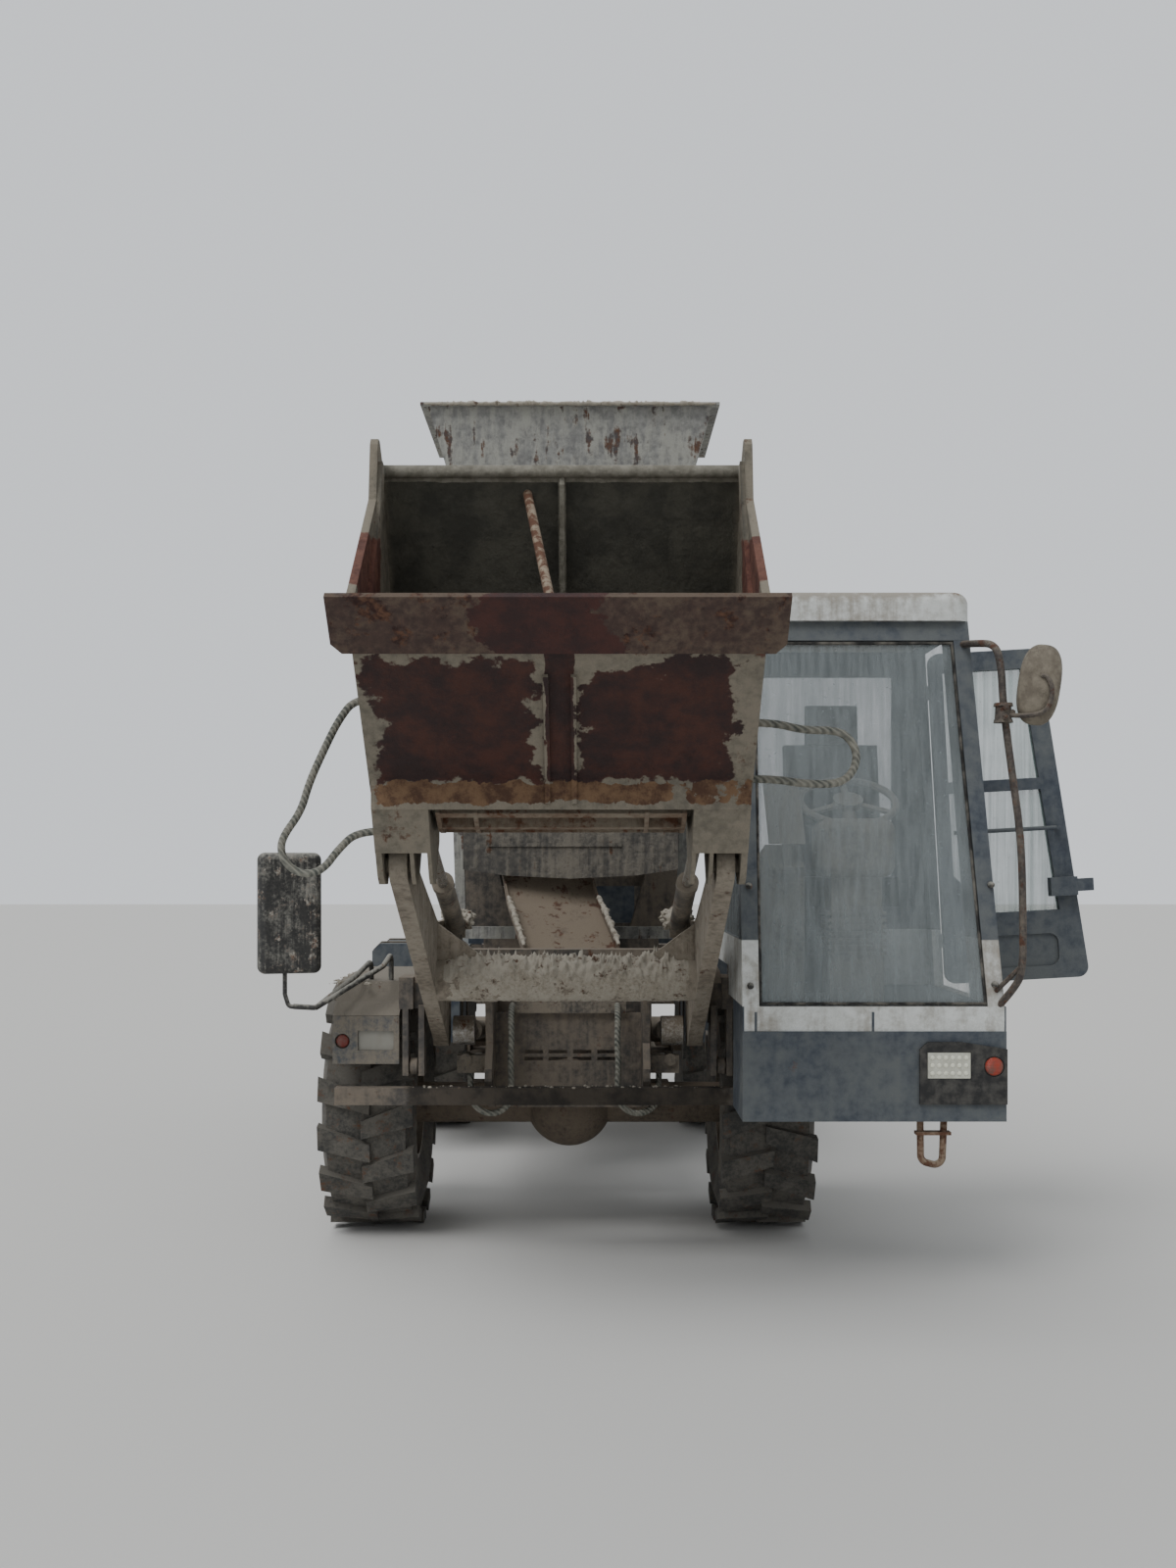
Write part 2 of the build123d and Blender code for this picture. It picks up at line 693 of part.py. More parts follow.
def door_glass():
    """The two panes of the door."""
    outer = CAB_OUTER_X
    upper, lower = door_panes()
    panes = [slab_x(pane, outer - 22, outer - 22 + GLASS) for pane in (upper, lower)]
    return [swung_open(pane) for pane in panes]


def operator_seat():
    """Seat on its pedestal: cushion, back and armrests."""
    pieces = [
        box(980, 1300, -640, -260, CAB_FLOOR_TOP, 1440),
        box(930, 1350, -720, -240, 1440, 1560),
        slab_x([(-330, 1560), (-210, 2130), (-300, 2130), (-430, 1560)], 940, 1340),
        slab_x([(-270, 2130), (-262, 2300), (-312, 2300), (-340, 2130)], 1030, 1250),
    ]
    return joined(pieces)


def steering_console():
    """Column with ribbed boot, instrument pod and steering wheel."""
    x = 1127
    y = -950
    pieces = [box(x - 105, x + 105, y - 90, y + 110, CAB_FLOOR_TOP, 1260)]
    for number in range(7):
        z = 1260 + number * 26
        pieces.append(box(x - 112, x + 112, y - 97, y + 117, z, z + 13))
        pieces.append(box(x - 100, x + 100, y - 85, y + 105, z + 12, z + 27))
    pieces.append(box(x - 98, x + 98, y - 83, y + 100, 1440, 1570))
    pod = box(x - 148, x + 148, y - 130, y + 150, 1560, 1790)
    pieces.append(fillet(pod.edges(), 50))
    tilt = Pos(x, y + 130, 1862) * Rot(30, 0, 0)
    pieces.append(tilt * Torus(190, 15))
    pieces.append(tilt * Cylinder(60, 30))
    for angle in (90, 210, 330):
        pieces.append(tilt * Rot(0, 0, angle) * Pos(120, 0, 0) * Box(150, 26, 12))
    pieces.append(bar_between((x, y + 40, 1700), (x, y + 130, 1858), 28))
    return joined(pieces)


def side_console():
    """Control cabinet beside the seat with a pale lid."""
    cabinet = slab_x([(-980, 1082), (-1000, 1600), (-860, 1690), (-560, 1640), (-560, 1082)], 790, 930)
    lid = slab_x([(-1012, 1690), (-1005, 1700), (-800, 1950), (-792, 1942)], 788, 932)
    stay = slab_x([(-990, 1600), (-1000, 1700), (-960, 1750), (-900, 1660)], 850, 880)
    return joined([cabinet, stay, lid])


def cab_mirror():
    """Bowed tube on the front outer post with its mirror head."""
    y = CAB_FRONT_Y - 60
    route = [
        (1533, screen_y(2480) + 2, 2460),
        (1560, y + 110, 2440),
        (1602, y, 2380),
        (1612, y, 2200),
        (1680, y, 1700),
        (1686, y, 1210),
        (1610, CAB_FRONT_Y + 20, 1075),
    ]
    tube = bent_bar(route, 14, 30)
    # Steadies from the post's knobs to the tube
    steady = bar_between((1612, -1262, 1145), (1684, y, 1240), 9)
    head_arm = bar_between((1617, y, 2160), (1700, y - 30, 2140), 11)
    clamp = Pos(1617, y, 2160) * Box(52, 52, 60)
    head = Pos(1730, y - 34, 2262) * Rot(0, 0, -14) * Box(150, 42, 300)
    head = fillet(head.edges(), 19)
    mirror_set = joined([tube, steady, head_arm, clamp, head]) - cab_frame()
    return largest(mirror_set)


def fender_mirror():
    """Mirror of the right side on a tube frame that stands on the fender."""
    y = -800
    foot = -755
    front = bent_bar(
        [(foot, -420, 1112), (foot, -420, 1230), (foot - 10, -600, 1190), (-1010, y, 1035), (-1100, y, 1040)],
        11, 30,
    )
    back = bent_bar(
        [(foot - 90, -380, 1112), (foot - 90, -380, 1200), (-880, -560, 1150), (-1010, y, 1035)], 11,
        25,
    )
    rod = bent_bar([(-1010, y, 1035), (-1120, y, 1040), (-1135, y, 1090), (-1135, y, 1200)], 9, 20)
    head = Pos(-1117, y, 1416) * Rot(0, 0, 18) * Box(252, 84, 486)
    head = fillet(head.edges(), 30)
    return largest(joined([front, back, rod, head]) - right_fender())


def cab_step():
    """Stirrup under the apron."""
    high = APRON_BOTTOM + 20
    loop = bent_bar(
        [(1330, -1230, high), (1330, -1240, 500), (1410, -1240, 480), (1420, -1230, high)], 13, 30,
    )
    loop -= box(1300, 1450, -1300, -1200, APRON_BOTTOM, high + 20)
    rung = box(1310, 1440, -1262, -1218, 600, 612)
    return joined([loop, rung])


def front_lamps():
    """Head and marker lamps in the apron and in the fender's pockets."""
    y = CAB_FRONT_Y - 6
    bezel = slab_y([(1315, 720), (1315, 925), (1345, 952), (1470, 952), (1640, 925), (1640, 720)], y - 14, y)
    bezel -= box(1342, 1506, y - 15, y - 4, 815, 915)
    bezel -= bar_y(y - 15, y - 4, 1590, 862, 38)
    lens = box(1344, 1504, y - 12, y - 4, 817, 913)
    marker = bar_y(y - 12, y - 4, 1590, 862, 36)
    fender_lens = box(-867.7, -720.3, -608, -592, 842.3, 921.7)
    fender_marker = bar_y(-608, -594, -932.5, 880, 30.7)
    return [bezel, lens, marker, fender_lens, fender_marker]


# Loader boom, bucket and gate


def along(start, end, distance):
    """The point at a distance from start towards end, in the YZ plane."""
    length = hypot(end[0] - start[0], end[1] - start[1])
    share = distance / length
    return (start[0] + share * (end[0] - start[0]), start[1] + share * (end[1] - start[1]))


def loader_arms():
    """Two plate arms with the cross tube, its gussets and the cylinder lugs."""
    inner = ARM_X - ARM_THICKNESS / 2
    outer = ARM_X + ARM_THICKNESS / 2
    tip_y, tip_z = BUCKET_PIN
    toe_y, toe_z = BOOM_TOE
    plate = slab_x(
        [
            (tip_y + 22, tip_z + 64),
            (CROSS_TUBE[0], CROSS_TUBE[1] + 230),
            (TILT_BASE[0] - 60, TILT_BASE[1] + 52),
            (TILT_BASE[0] + 55, TILT_BASE[1] + 40),
            (BOOM_PIVOT[0] + 92, BOOM_PIVOT[1] + 30),
            (toe_y + 68, toe_z),
            (toe_y + 40, toe_z - 56),
            (toe_y - 30, toe_z - 64),
            (tip_y - 30, tip_z - 60),
        ],
        inner,
        outer,
    )
    tip = bar_x(inner, outer, tip_y, tip_z, ARM_TIP_RADIUS)
    boss = bar_x(inner - 4, outer + 4, *BOOM_PIVOT, 88)
    toe_boss = bar_x(inner, outer + 6, toe_y, toe_z, 66)
    arm = joined([plate, tip, boss, toe_boss])
    arm -= bar_x(inner - 10, outer + 10, *BOOM_PIVOT, PIN_RADIUS + 8.5)
    arm -= bar_x(inner - 10, outer + 10, *BUCKET_PIN, PIN_RADIUS - 1.5)
    # Lug that carries the tilt cylinder's foot, with its pin
    lug = slab_x(
        [
            (TILT_BASE[0] - 90, TILT_BASE[1] - 150),
            (TILT_BASE[0] - 42, TILT_BASE[1] + 42),
            (TILT_BASE[0] + 42, TILT_BASE[1] + 42),
            (TILT_BASE[0] + 70, TILT_BASE[1] - 150),
        ],
        TILT_X + 22,
        inner,
    )
    pin = bar_x(TILT_X - 30, inner, *TILT_BASE, 22)
    gusset = slab_y([(inner, 1380), (inner, 1140), (300, 1150), (300, 1228)], -955, -925)
    pieces = both_sides(arm) + both_sides(lug) + both_sides(pin) + both_sides(gusset)
    tube = bar_x(-inner, inner, *CROSS_TUBE, CROSS_TUBE_RADIUS)
    return joined([tube] + pieces)


def heel_point(radius, angle):
    """A point about the heel's centre, as (y, z)."""
    turn = radians(angle)
    return (HEEL_CENTRE[0] + radius * cos(turn), HEEL_CENTRE[1] + radius * sin(turn))


# Angles about the heel where the floor and the back wall leave it
FLOOR_ANGLE = 225
HEEL_DISTANCE = hypot(BUCKET_TOP[0] - HEEL_CENTRE[0], BUCKET_TOP[1] - HEEL_CENTRE[1])
TOP_ANGLE = degrees(atan2(BUCKET_TOP[1] - HEEL_CENTRE[1], BUCKET_TOP[0] - HEEL_CENTRE[0]))
BACK_ANGLE = TOP_ANGLE - degrees(acos(HEEL_RADIUS / HEEL_DISTANCE))


def bucket_section(offset, half_width):
    """The bucket's inside, swollen by an offset, as a solid."""
    radius = HEEL_RADIUS + offset
    step = (offset * cos(radians(BACK_ANGLE)), offset * sin(radians(BACK_ANGLE)))
    top = (BUCKET_TOP[0] + step[0], BUCKET_TOP[1] + step[1])
    lip = (BUCKET_LIP[0] - offset * sin(radians(45)), BUCKET_LIP[1] - offset * sin(radians(45)))
    corners = [
        lip,
        heel_point(radius, FLOOR_ANGLE),
        HEEL_CENTRE,
        heel_point(radius, BACK_ANGLE),
        top,
    ]
    wedge = slab_x(corners, -half_width, half_width)
    return wedge + bar_x(-half_width, half_width, *HEEL_CENTRE, radius)


def bucket_body():
    """Welded shovel: floor, heel, back wall, horned sides, ears and lugs."""
    half = BUCKET_HALF_WIDTH
    side_wall = 25
    shell = bucket_section(BUCKET_WALL, half) - bucket_section(0, half - side_wall)
    # The mouth is open from the lip to the back wall's edge
    mouth = slab_x(
        [BUCKET_LIP, along(BUCKET_LIP, BUCKET_TOP, 900), (-2300, 3100), (-2900, 2500)],
        -half + side_wall,
        half - side_wall,
    )
    shell -= mouth
    # The gate's opening in the heel
    opening = slab_x(
        [HEEL_CENTRE, heel_point(500, -126), heel_point(700, -69), heel_point(500, -12)],
        -GATE_OPENING_HALF,
        GATE_OPENING_HALF,
    )
    shell -= opening
    horn = slab_x(
        [
            BUCKET_LIP,
            (-2180, 2740),
            (-2144, 2940),
            (-2124, 2962),
            (-2092, 2962),
            (BUCKET_TOP[0] + 10, BUCKET_TOP[1] + 5),
            heel_point(HEEL_RADIUS, BACK_ANGLE),
            HEEL_CENTRE,
            heel_point(HEEL_RADIUS, FLOOR_ANGLE),
        ],
        half - side_wall,
        half,
    )
    # A thicker strip inside each side, down from the horn
    strip = slab_x(
        [(-2180, 2740), (-2130, 2890), (-2080, 2880), (-2130, 2710), (-2440, 2215), (-2490, 2260)],
        half - side_wall - 14,
        half - side_wall,
    )
    edge_roll = bar_x(-half, half, BUCKET_TOP[0] - 4, BUCKET_TOP[1] - 6, 20)
    pieces = [shell, edge_roll] + both_sides(horn) + both_sides(strip)
    # Plate below the floor's end, across the whole width
    front = BUCKET_FLOOR_END[0] - 22
    pieces.append(
        slab_x([(front, 1892), (front, 1782), (front + 13, 1782), (front + 13, 1875)], -EAR_OUTER, EAR_OUTER)
    )
    # Two ribs under the floor plate that end at the cross plate
    rib = slab_x(
        [
            (-2460, 2176),
            (BUCKET_FLOOR_END[0] - 16, 1860),
            (front, 1800),
            (front - 10, 1800),
            (front - 10, 1868),
            (-2474, 2162),
        ],
        34,
        50,
    )
    pieces += both_sides(rib)
    # Centre rib inside, on the back wall
    pieces.append(
        slab_x(
            [
                along(BUCKET_TOP, heel_point(HEEL_RADIUS, BACK_ANGLE), 10),
                along(BUCKET_TOP, heel_point(HEEL_RADIUS, BACK_ANGLE), 640),
                (along(BUCKET_TOP, heel_point(HEEL_RADIUS, BACK_ANGLE), 600)[0] - 26, 2335),
                (BUCKET_TOP[0] - 10, BUCKET_TOP[1] - 50),
            ],
            -8,
            8,
        )
    )
    pieces += ears()
    # Lugs on the back wall for the gate's cylinders, and its hinge lugs
    base_y, base_z = GATE_CYLINDER_BASE
    lug = slab_x(
        [
            (base_y - 156, base_z + 60), (base_y + 30, base_z + 26), (base_y + 30, base_z - 26),
            (base_y - 92, base_z - 60),
        ],
        GATE_CYLINDER_X + 34,
        GATE_CYLINDER_X + 48,
    )
    pieces += both_sides(lug)
    pieces += both_sides(bar_x(GATE_CYLINDER_X - 22, GATE_CYLINDER_X + 48, base_y, base_z, 16))
    hinge_y, hinge_z = GATE_HINGE
    ear = slab_x(
        [
            (hinge_y - 96, hinge_z + 90), (hinge_y + 26, hinge_z + 30), (hinge_y + 26, hinge_z - 26),
            (hinge_y - 60, hinge_z - 26),
        ],
        GATE_HALF_WIDTH + 8,
        GATE_HALF_WIDTH + 28,
    )
    pieces += both_sides(ear)
    pieces += both_sides(bar_x(GATE_HALF_WIDTH - 60, GATE_HALF_WIDTH + 28, hinge_y, hinge_z, 16))
    return joined(pieces)


def ears():
    """Two boxed ears under the bucket that straddle the arm's tip."""
    y, z = BUCKET_PIN
    cheek = [
        (BUCKET_FLOOR_END[0] - 22, 1875),
        (BUCKET_FLOOR_END[0] - 22, 1790),
        (y - 78, z - 40),
        (y - 40, z - 66),
        (y + 40, z - 66),
        (y + 90, z - 10),
        (y + 150, z + 190),
    ]
    with_lug = cheek[:5] + [(y + 120, z + 40), (y + 158, z + 78), (y + 160, z + 200)]
    heel = bar_x(EAR_INNER - 5, EAR_OUTER + 5, *HEEL_CENTRE, HEEL_RADIUS + 1)
    plates = [
        slab_x(with_lug, EAR_INNER, TILT_X - 22),
        slab_x(with_lug, TILT_X + 22, TILT_X + 35),
        slab_x(cheek, EAR_OUTER - 20, EAR_OUTER),
    ]
    cover = slab_x(
        [
            (BUCKET_FLOOR_END[0] - 22, 1792),
            (y - 138, z + 35),
            (y - 126, z + 35),
            (BUCKET_FLOOR_END[0] - 10, 1792),
        ],
        EAR_INNER,
        EAR_OUTER,
    )
    pin = bar_x(TILT_X + 22, EAR_OUTER + 8, y, z, PIN_RADIUS - 2)
    pieces = []
    for plate in plates:
        pieces += both_sides(plate - heel)
    return pieces + both_sides(cover) + both_sides(pin)


def cutting_edge():
    """Worn edge plate under the lip, wider than the bucket, with cut corners."""
    half = EDGE_WIDTH / 2
    # Drawn flat: (across, back from the front edge)
    outline = [
        (-half, 0),
        (-half, EDGE_DEPTH - 34),
        (-half + 30, EDGE_DEPTH),
        (half - 30, EDGE_DEPTH),
        (half, EDGE_DEPTH - 34),
        (half, 0),
    ]
    plate = slab_z(outline, 0, EDGE_THICKNESS)
    # The plate lies under the floor plate, from the lip back along the floor
    gap = BUCKET_WALL + 0.2
    lip_y = BUCKET_LIP[0] - gap * sin(radians(45)) - 14
    lip_z = BUCKET_LIP[1] - gap * sin(radians(45)) + 14
    return Pos(0, lip_y, lip_z) * Rot(-45, 0, 0) * Pos(0, 0, -EDGE_THICKNESS) * plate


def tie_rod():
    """Iron rod from the lip up to the back wall, with its head on the lip."""
    rod = bar_between((-14, BUCKET_LIP[0] + 34, BUCKET_LIP[1] - 50), (-116, -1960, 2838), 15)
    head = bar_x(-38, 10, BUCKET_LIP[0] + 60, BUCKET_LIP[1] - 30, 24)
    return largest(joined([rod, head]) - bucket_body())


def bucket_gate():
    """Curved gate under the heel with stiffeners, hinge arms and lugs."""
    inner = HEEL_RADIUS + BUCKET_WALL + 5
    outer = inner + GATE_WALL
    half = GATE_HALF_WIDTH
    sector = slab_x(
        [HEEL_CENTRE, heel_point(600, -123), heel_point(900, -70), heel_point(600, -9)], -half, half
    )
    skin = bar_x(-half, half, *HEEL_CENTRE, outer) - bar_x(-half - 1, half + 1, *HEEL_CENTRE, inner)
    pieces = [skin & sector]
    ring = bar_x(-half, half, *HEEL_CENTRE, outer + 38) - bar_x(-half - 1, half + 1, *HEEL_CENTRE, inner + 6)
    for angle in (-120, -104, -86, -64, -36):
        bar = slab_x(
            [heel_point(outer - 4, angle - 2), heel_point(outer + 60, angle - 2), heel_point(outer + 60, angle + 2), heel_point(outer - 4, angle + 2)],
            -half + 4, half - 4,
        )
        pieces.append(bar & ring)
    # Curved ribs that end in the hinge arms
    hinge_y, hinge_z = GATE_HINGE
    for x0 in (half - 14, GATE_CYLINDER_X - 34):
        rib = (bar_x(x0, x0 + 14, *HEEL_CENTRE, outer + 40) - bar_x(x0 - 1, x0 + 15, *HEEL_CENTRE, outer - 4)) & sector
        arm = slab_x(
            [
                heel_point(outer - 3, -9),
                heel_point(outer - 3, -26),
                heel_point(outer + 40, -26),
                (hinge_y + 112, hinge_z - 50),
                (hinge_y + 112, hinge_z + 6),
                (hinge_y + 28, hinge_z + 26),
                (hinge_y - 8, hinge_z + 26),
            ],
            x0,
            x0 + 14,
        )
        arm -= bar_x(x0 - 1, x0 + 15, hinge_y, hinge_z, 17)
        pieces += both_sides(rib) + both_sides(arm)
    pins = bar_x(GATE_CYLINDER_X - 34, GATE_CYLINDER_X - 21, *GATE_CYLINDER_EYE, 24)
    pieces += both_sides(pins)
    return joined(pieces)


# Cylinders


def cylinder_barrel(base, eye, x, sizes):
    """A barrel in the YZ plane from its foot eye; returns one solid."""
    barrel_radius, rod_radius, length, eye_radius, eye_width, pin_radius = sizes
    start = (x, *base)
    towards = (x, *along(base, eye, length))
    foot = bar_x(x - eye_width / 2, x + eye_width / 2, *base, eye_radius)
    neck = bar_between(start, (x, *along(base, eye, eye_radius + 60)), eye_radius * 0.5)
    tube = bar_between((x, *along(base, eye, eye_radius + 45)), towards, barrel_radius)
    gland = bar_between((x, *along(base, eye, length - 45)), towards, barrel_radius + 4)
    body = joined([tube, neck, foot, gland])
    bore = bar_between(
        (x, *along(base, eye, eye_radius + 70)), (x, *along(base, eye, length + 9)), rod_radius + 0.3
    )
    body -= bore
    return body - bar_x(x - eye_width, x + eye_width, *base, pin_radius + 0.5)


def cylinder_rod(base, eye, x, sizes, inside):
    """A rod in the YZ plane, from inside its barrel to its eye and short pin."""
    barrel_radius, rod_radius, length, eye_radius, eye_width, pin_radius = sizes
    start = (x, *along(base, eye, length - inside))
    end = (x, *eye)
    rod = bar_between(start, end, rod_radius)
    head = bar_x(x - eye_width / 2, x + eye_width / 2, *eye, eye_radius)
    return joined([rod, head])


# Each row: barrel radius, rod radius, barrel length, eye radius, eye width, pin radius
LIFT_SIZES = (46, 30, 690, 62, 92, PIN_RADIUS)
TILT_SIZES = (38, 20, 720, 36, 36, 22)
GATE_SIZES = (26, 14, 360, 24, 30, 16)
STEER_SIZES = (34, 20, 640, 30, 60, PIN_RADIUS - 6)


def pair(maker, base, eye, x, *rest):
    """The same cylinder piece on both sides."""
    return [maker(base, eye, side * x, *rest) for side in (1, -1)]


def steering(maker, side, *rest):
    """A steering cylinder piece, drawn in the YZ plane and laid flat."""
    base = (STEER_BASE[1], STEER_BASE[0])
    eye = (STEER_EYE[1], STEER_EYE[0])
    flat = Pos(0, 0, STEER_HEIGHT) * Rot(0, 90, 0) * maker(base, eye, 0, STEER_SIZES, *rest)
    return flat if side > 0 else mirror(flat, about=Plane.YZ)


# Rear frame


def rear_chassis():
    """Two beams, the hinge neck, axle saddles, cross members and brackets."""
    inner = REAR_BEAM_X - REAR_BEAM_WIDTH / 2
    outer = REAR_BEAM_X + REAR_BEAM_WIDTH / 2
    low = REAR_BEAM_BOTTOM
    high = REAR_BEAM_TOP
    beam = box(inner, outer, REAR_BEAM_START, 3900, low, high)
    beam -= box(inner + 12, outer + 1, REAR_BEAM_START + 20, 3880, low + 14, high - 14)
    saddle = box(350, 450, WHEELBASE - 95, WHEELBASE + 95, 632, low)
    pieces = both_sides(beam) + both_sides(saddle)
    # Neck down to the hinge, narrow where the steering cylinders pass
    pieces.append(box(-outer, outer, 1650, 1680, 745, high))
    pieces.append(box(-285, 285, 1650, 1680, 606, 760))
    pieces.append(box(-60, 60, PIVOT_Y, 1655, 640, 850))
    pieces.append(bar_z(601, 874, 0, PIVOT_Y, 85))
    pieces += both_sides(
        slab_x([(1660, 745), (1660, high), (1900, high), (1900, low), (1800, low)], inner, inner + 20),
    )
    # Cross members
    for y0, y1 in ((REAR_BEAM_START, 850), (2200, 2260), (3000, 3040), (3860, 3900)):
        pieces.append(box(-inner, inner, y0, y1, high - 120, high))
    # Brackets for the steering rods' eyes
    eye_x, eye_y = STEER_EYE
    hanger = box(eye_x - 40, eye_x + 40, eye_y + 75, eye_y + 105, 590, low)
    pieces += both_sides(hanger)
    for z0 in (STEER_HEIGHT - 48, STEER_HEIGHT + 34):
        lug = box(eye_x - 36, eye_x + 36, eye_y - 30, eye_y + 80, z0, z0 + 14)
        pieces += both_sides(lug)
    # Post of the chute's pin and the deck in front of the beams
    pivot_x, pivot_y = CHUTE_PIVOT
    pieces.append(box(pivot_x - 60, pivot_x + 60, pivot_y - 50, 800, high - 60, high - 20))
    pieces.append(bar_z(high - 30, 1480, pivot_x, pivot_y, 24))
    whole = joined(pieces)
    return whole - bar_z(595, 880, 0, PIVOT_Y, PIVOT_PIN_RADIUS + 0.3)


def drum_point(station, radius, angle=0):
    """A point at a station along the drum and at an angle from straight below."""
    tilt = radians(DRUM_TILT)
    down = radius * cos(radians(angle))
    return (
        radius * sin(radians(angle)),
        DRUM_REAR[0] - station * cos(tilt) - down * sin(tilt),
        DRUM_REAR[1] + station * sin(tilt) - down * cos(tilt),
    )


ROLLER_RADIUS = 75
ROLLER_ANGLE = 34


def drum_supports():
    """Front pedestal with two rollers and the rear stand with its gearbox."""
    high = REAR_BEAM_TOP
    roller_distance = DRUM_RING_RADIUS + ROLLER_RADIUS + 0.6
    x, y, z = drum_point(DRUM_RING_STATION, roller_distance, ROLLER_ANGLE)
    start = drum_point(DRUM_RING_STATION - 55, roller_distance, ROLLER_ANGLE)
    end = drum_point(DRUM_RING_STATION + 55, roller_distance, ROLLER_ANGLE)
    roller = bar_between(start, end, ROLLER_RADIUS)
    shaft_start = drum_point(DRUM_RING_STATION - 100, roller_distance, ROLLER_ANGLE)
    shaft_end = drum_point(DRUM_RING_STATION + 100, roller_distance, ROLLER_ANGLE)
    shaft = bar_between(shaft_start, shaft_end, 24)
    pieces = both_sides(roller + shaft)
    leg = slab_y([(300, high), (600, high), (x + 50, z - 30), (x - 60, z - 30)], y - 95, y - 81)
    pieces += both_sides(leg)
    pieces += both_sides(
        slab_y([(300, high), (600, high), (x + 50, z - 60), (x - 60, z - 60)], y + 81, y + 95),
    )
    pieces += both_sides(box(380, 420, y - 90, y + 90, high, 1500))
    pieces += both_sides(
        slab_x([(y - 95, z - 90), (y - 95, z + 30), (y - 81, z + 30), (y - 81, z - 90)], x - 40, x + 40),
    )
    pieces += both_sides(
        slab_x([(y + 81, z - 90), (y + 81, z + 10), (y + 95, z + 10), (y + 95, z - 90)], x - 40, x + 40),
    )
    pieces.append(box(-x, x, y - 40, y + 40, 1500, 1560))
    front = joined(pieces)
    rear_y = 3420
    stand = slab_y(
        [(394, high), (478, high), (478, 1800), (330, 2100), (250, 2100), (394, 1780)], rear_y, rear_y + 60
    )
    plate = box(-330, 330, rear_y, rear_y + 30, 1850, 2330)
    plate -= bar_y(rear_y - 10, rear_y + 50, 0, 2115, 100)
    gearbox = bar_between(drum_point(-16, 0), drum_point(-240, 0), 135)
    flange = bar_between(drum_point(-60, 0), drum_point(-84, 0), 210)
    rear = joined(both_sides(stand) + [plate, gearbox, flange])
    return [front, rear]


# Drum profile: station from the rear end, radius
DRUM_PROFILE = (
    (0, 350),
    (100, 350),
    (250, 600),
    (500, 850),
    (900, DRUM_RADIUS),
    (1400, DRUM_RADIUS),
    (2000, 750),
    (2500, DRUM_MOUTH_RADIUS),
    (DRUM_LENGTH, DRUM_MOUTH_RADIUS),
)


def revolved(points):
    """A ring from (radius, height) points about the Z axis."""
    face = Plane.XZ * Polygon(*points, align=None)
    return revolve(face, Axis.Z)


def mixing_drum():
    """Hollow tilted drum with its running ring and the mouth's rim."""
    outside = [(radius, station) for station, radius in DRUM_PROFILE]
    wall = DRUM_WALL
    inside = [(radius - wall, max(station, wall)) for radius, station in reversed(outside)]
    shell = revolved(outside + inside + [(0.01, wall), (0.01, 0)])
    half = DRUM_RING_WIDTH / 2
    station = DRUM_RING_STATION
    surface = 950 - 200 * (station - 1400) / 600
    rim = revolved(
        [
            (DRUM_RING_RADIUS, station - half),
            (DRUM_RING_RADIUS, station + half),
            (DRUM_RING_RADIUS - 30, station + half),
            (DRUM_RING_RADIUS - 30, station + 12),
            (surface - 10, station + 12),
            (surface - 6, station - 12),
            (DRUM_RING_RADIUS - 30, station - 12),
            (DRUM_RING_RADIUS - 30, station - half),
        ]
    )
    lip = revolved(
        [
            (DRUM_MOUTH_RADIUS - 4, DRUM_LENGTH - 40),
            (DRUM_MOUTH_RADIUS + 14, DRUM_LENGTH - 40),
            (DRUM_MOUTH_RADIUS + 14, DRUM_LENGTH),
            (DRUM_MOUTH_RADIUS - 4, DRUM_LENGTH),
        ]
    )
    drum = joined([shell, rim, lip])
    plane = Plane(
        origin=(0, *DRUM_REAR), x_dir=(1, 0, 0),
        z_dir=(0, -cos(radians(DRUM_TILT)), sin(radians(DRUM_TILT))),
    )
    return plane * drum


# Hopper sections from the rim down to the spout: half width and (y, z) of the
# front edge, then of the rear edge
HOPPER_SECTIONS = (
    (680, (350, 3805), 680, (1250, 3805)),
    (565, (414, 3420), 565, (820, 3420)),
    (430, (480, 3050), 400, (835, 3330)),
    (260, (850, 2800), 260, (850, 3180)),
)


def hopper_solid(inset, extra):
    """The hopper's outside, or its inside when inset by the wall."""
    faces = []
    last = len(HOPPER_SECTIONS) - 1
    for index, (front_half, front, rear_half, rear) in enumerate(HOPPER_SECTIONS):
        run = hypot(rear[0] - front[0], rear[1] - front[1])
        step = (inset * (rear[0] - front[0]) / run, inset * (rear[1] - front[1]) / run)
        lift = extra if index == 0 else 0
        push = extra if index == last else 0
        front_point = (front[0] + step[0] + push, front[1] + step[1] + lift)
        rear_point = (rear[0] - step[0] + push, rear[1] - step[1] + lift)
        corners = [
            (front_half - inset, *front_point),
            (-front_half + inset, *front_point),
            (-rear_half + inset, *rear_point),
            (rear_half - inset, *rear_point),
        ]
        faces.append(Face(Wire.make_polygon([Vector(*corner) for corner in corners], close=True)))
    return loft(faces, ruled=True)


def feed_hopper():
    """Open hopper with its flange and the two posts that carry it."""
    outside = hopper_solid(0, 0)
    hollow = hopper_solid(HOPPER_WALL, 5)
    flange = box(
        -HOPPER_WIDTH / 2, HOPPER_WIDTH / 2, HOPPER_FRONT_Y - 30, HOPPER_FRONT_Y + HOPPER_DEPTH + 30,
        HOPPER_TOP - 14, HOPPER_TOP,
    )
    shell = joined([outside, flange]) - hollow
    post_top = HOPPER_TOP - 245
    corners = [(530, REAR_BEAM_TOP + 60), (580, REAR_BEAM_TOP + 60), (650, post_top), (600, post_top)]
    posts = both_sides(slab_y(corners, 800, 860))
    foot = box(-580, 580, 800, 860, REAR_BEAM_TOP, REAR_BEAM_TOP + 60)
    posts = [post - outside for post in posts]
    return joined([shell] + posts + [foot])


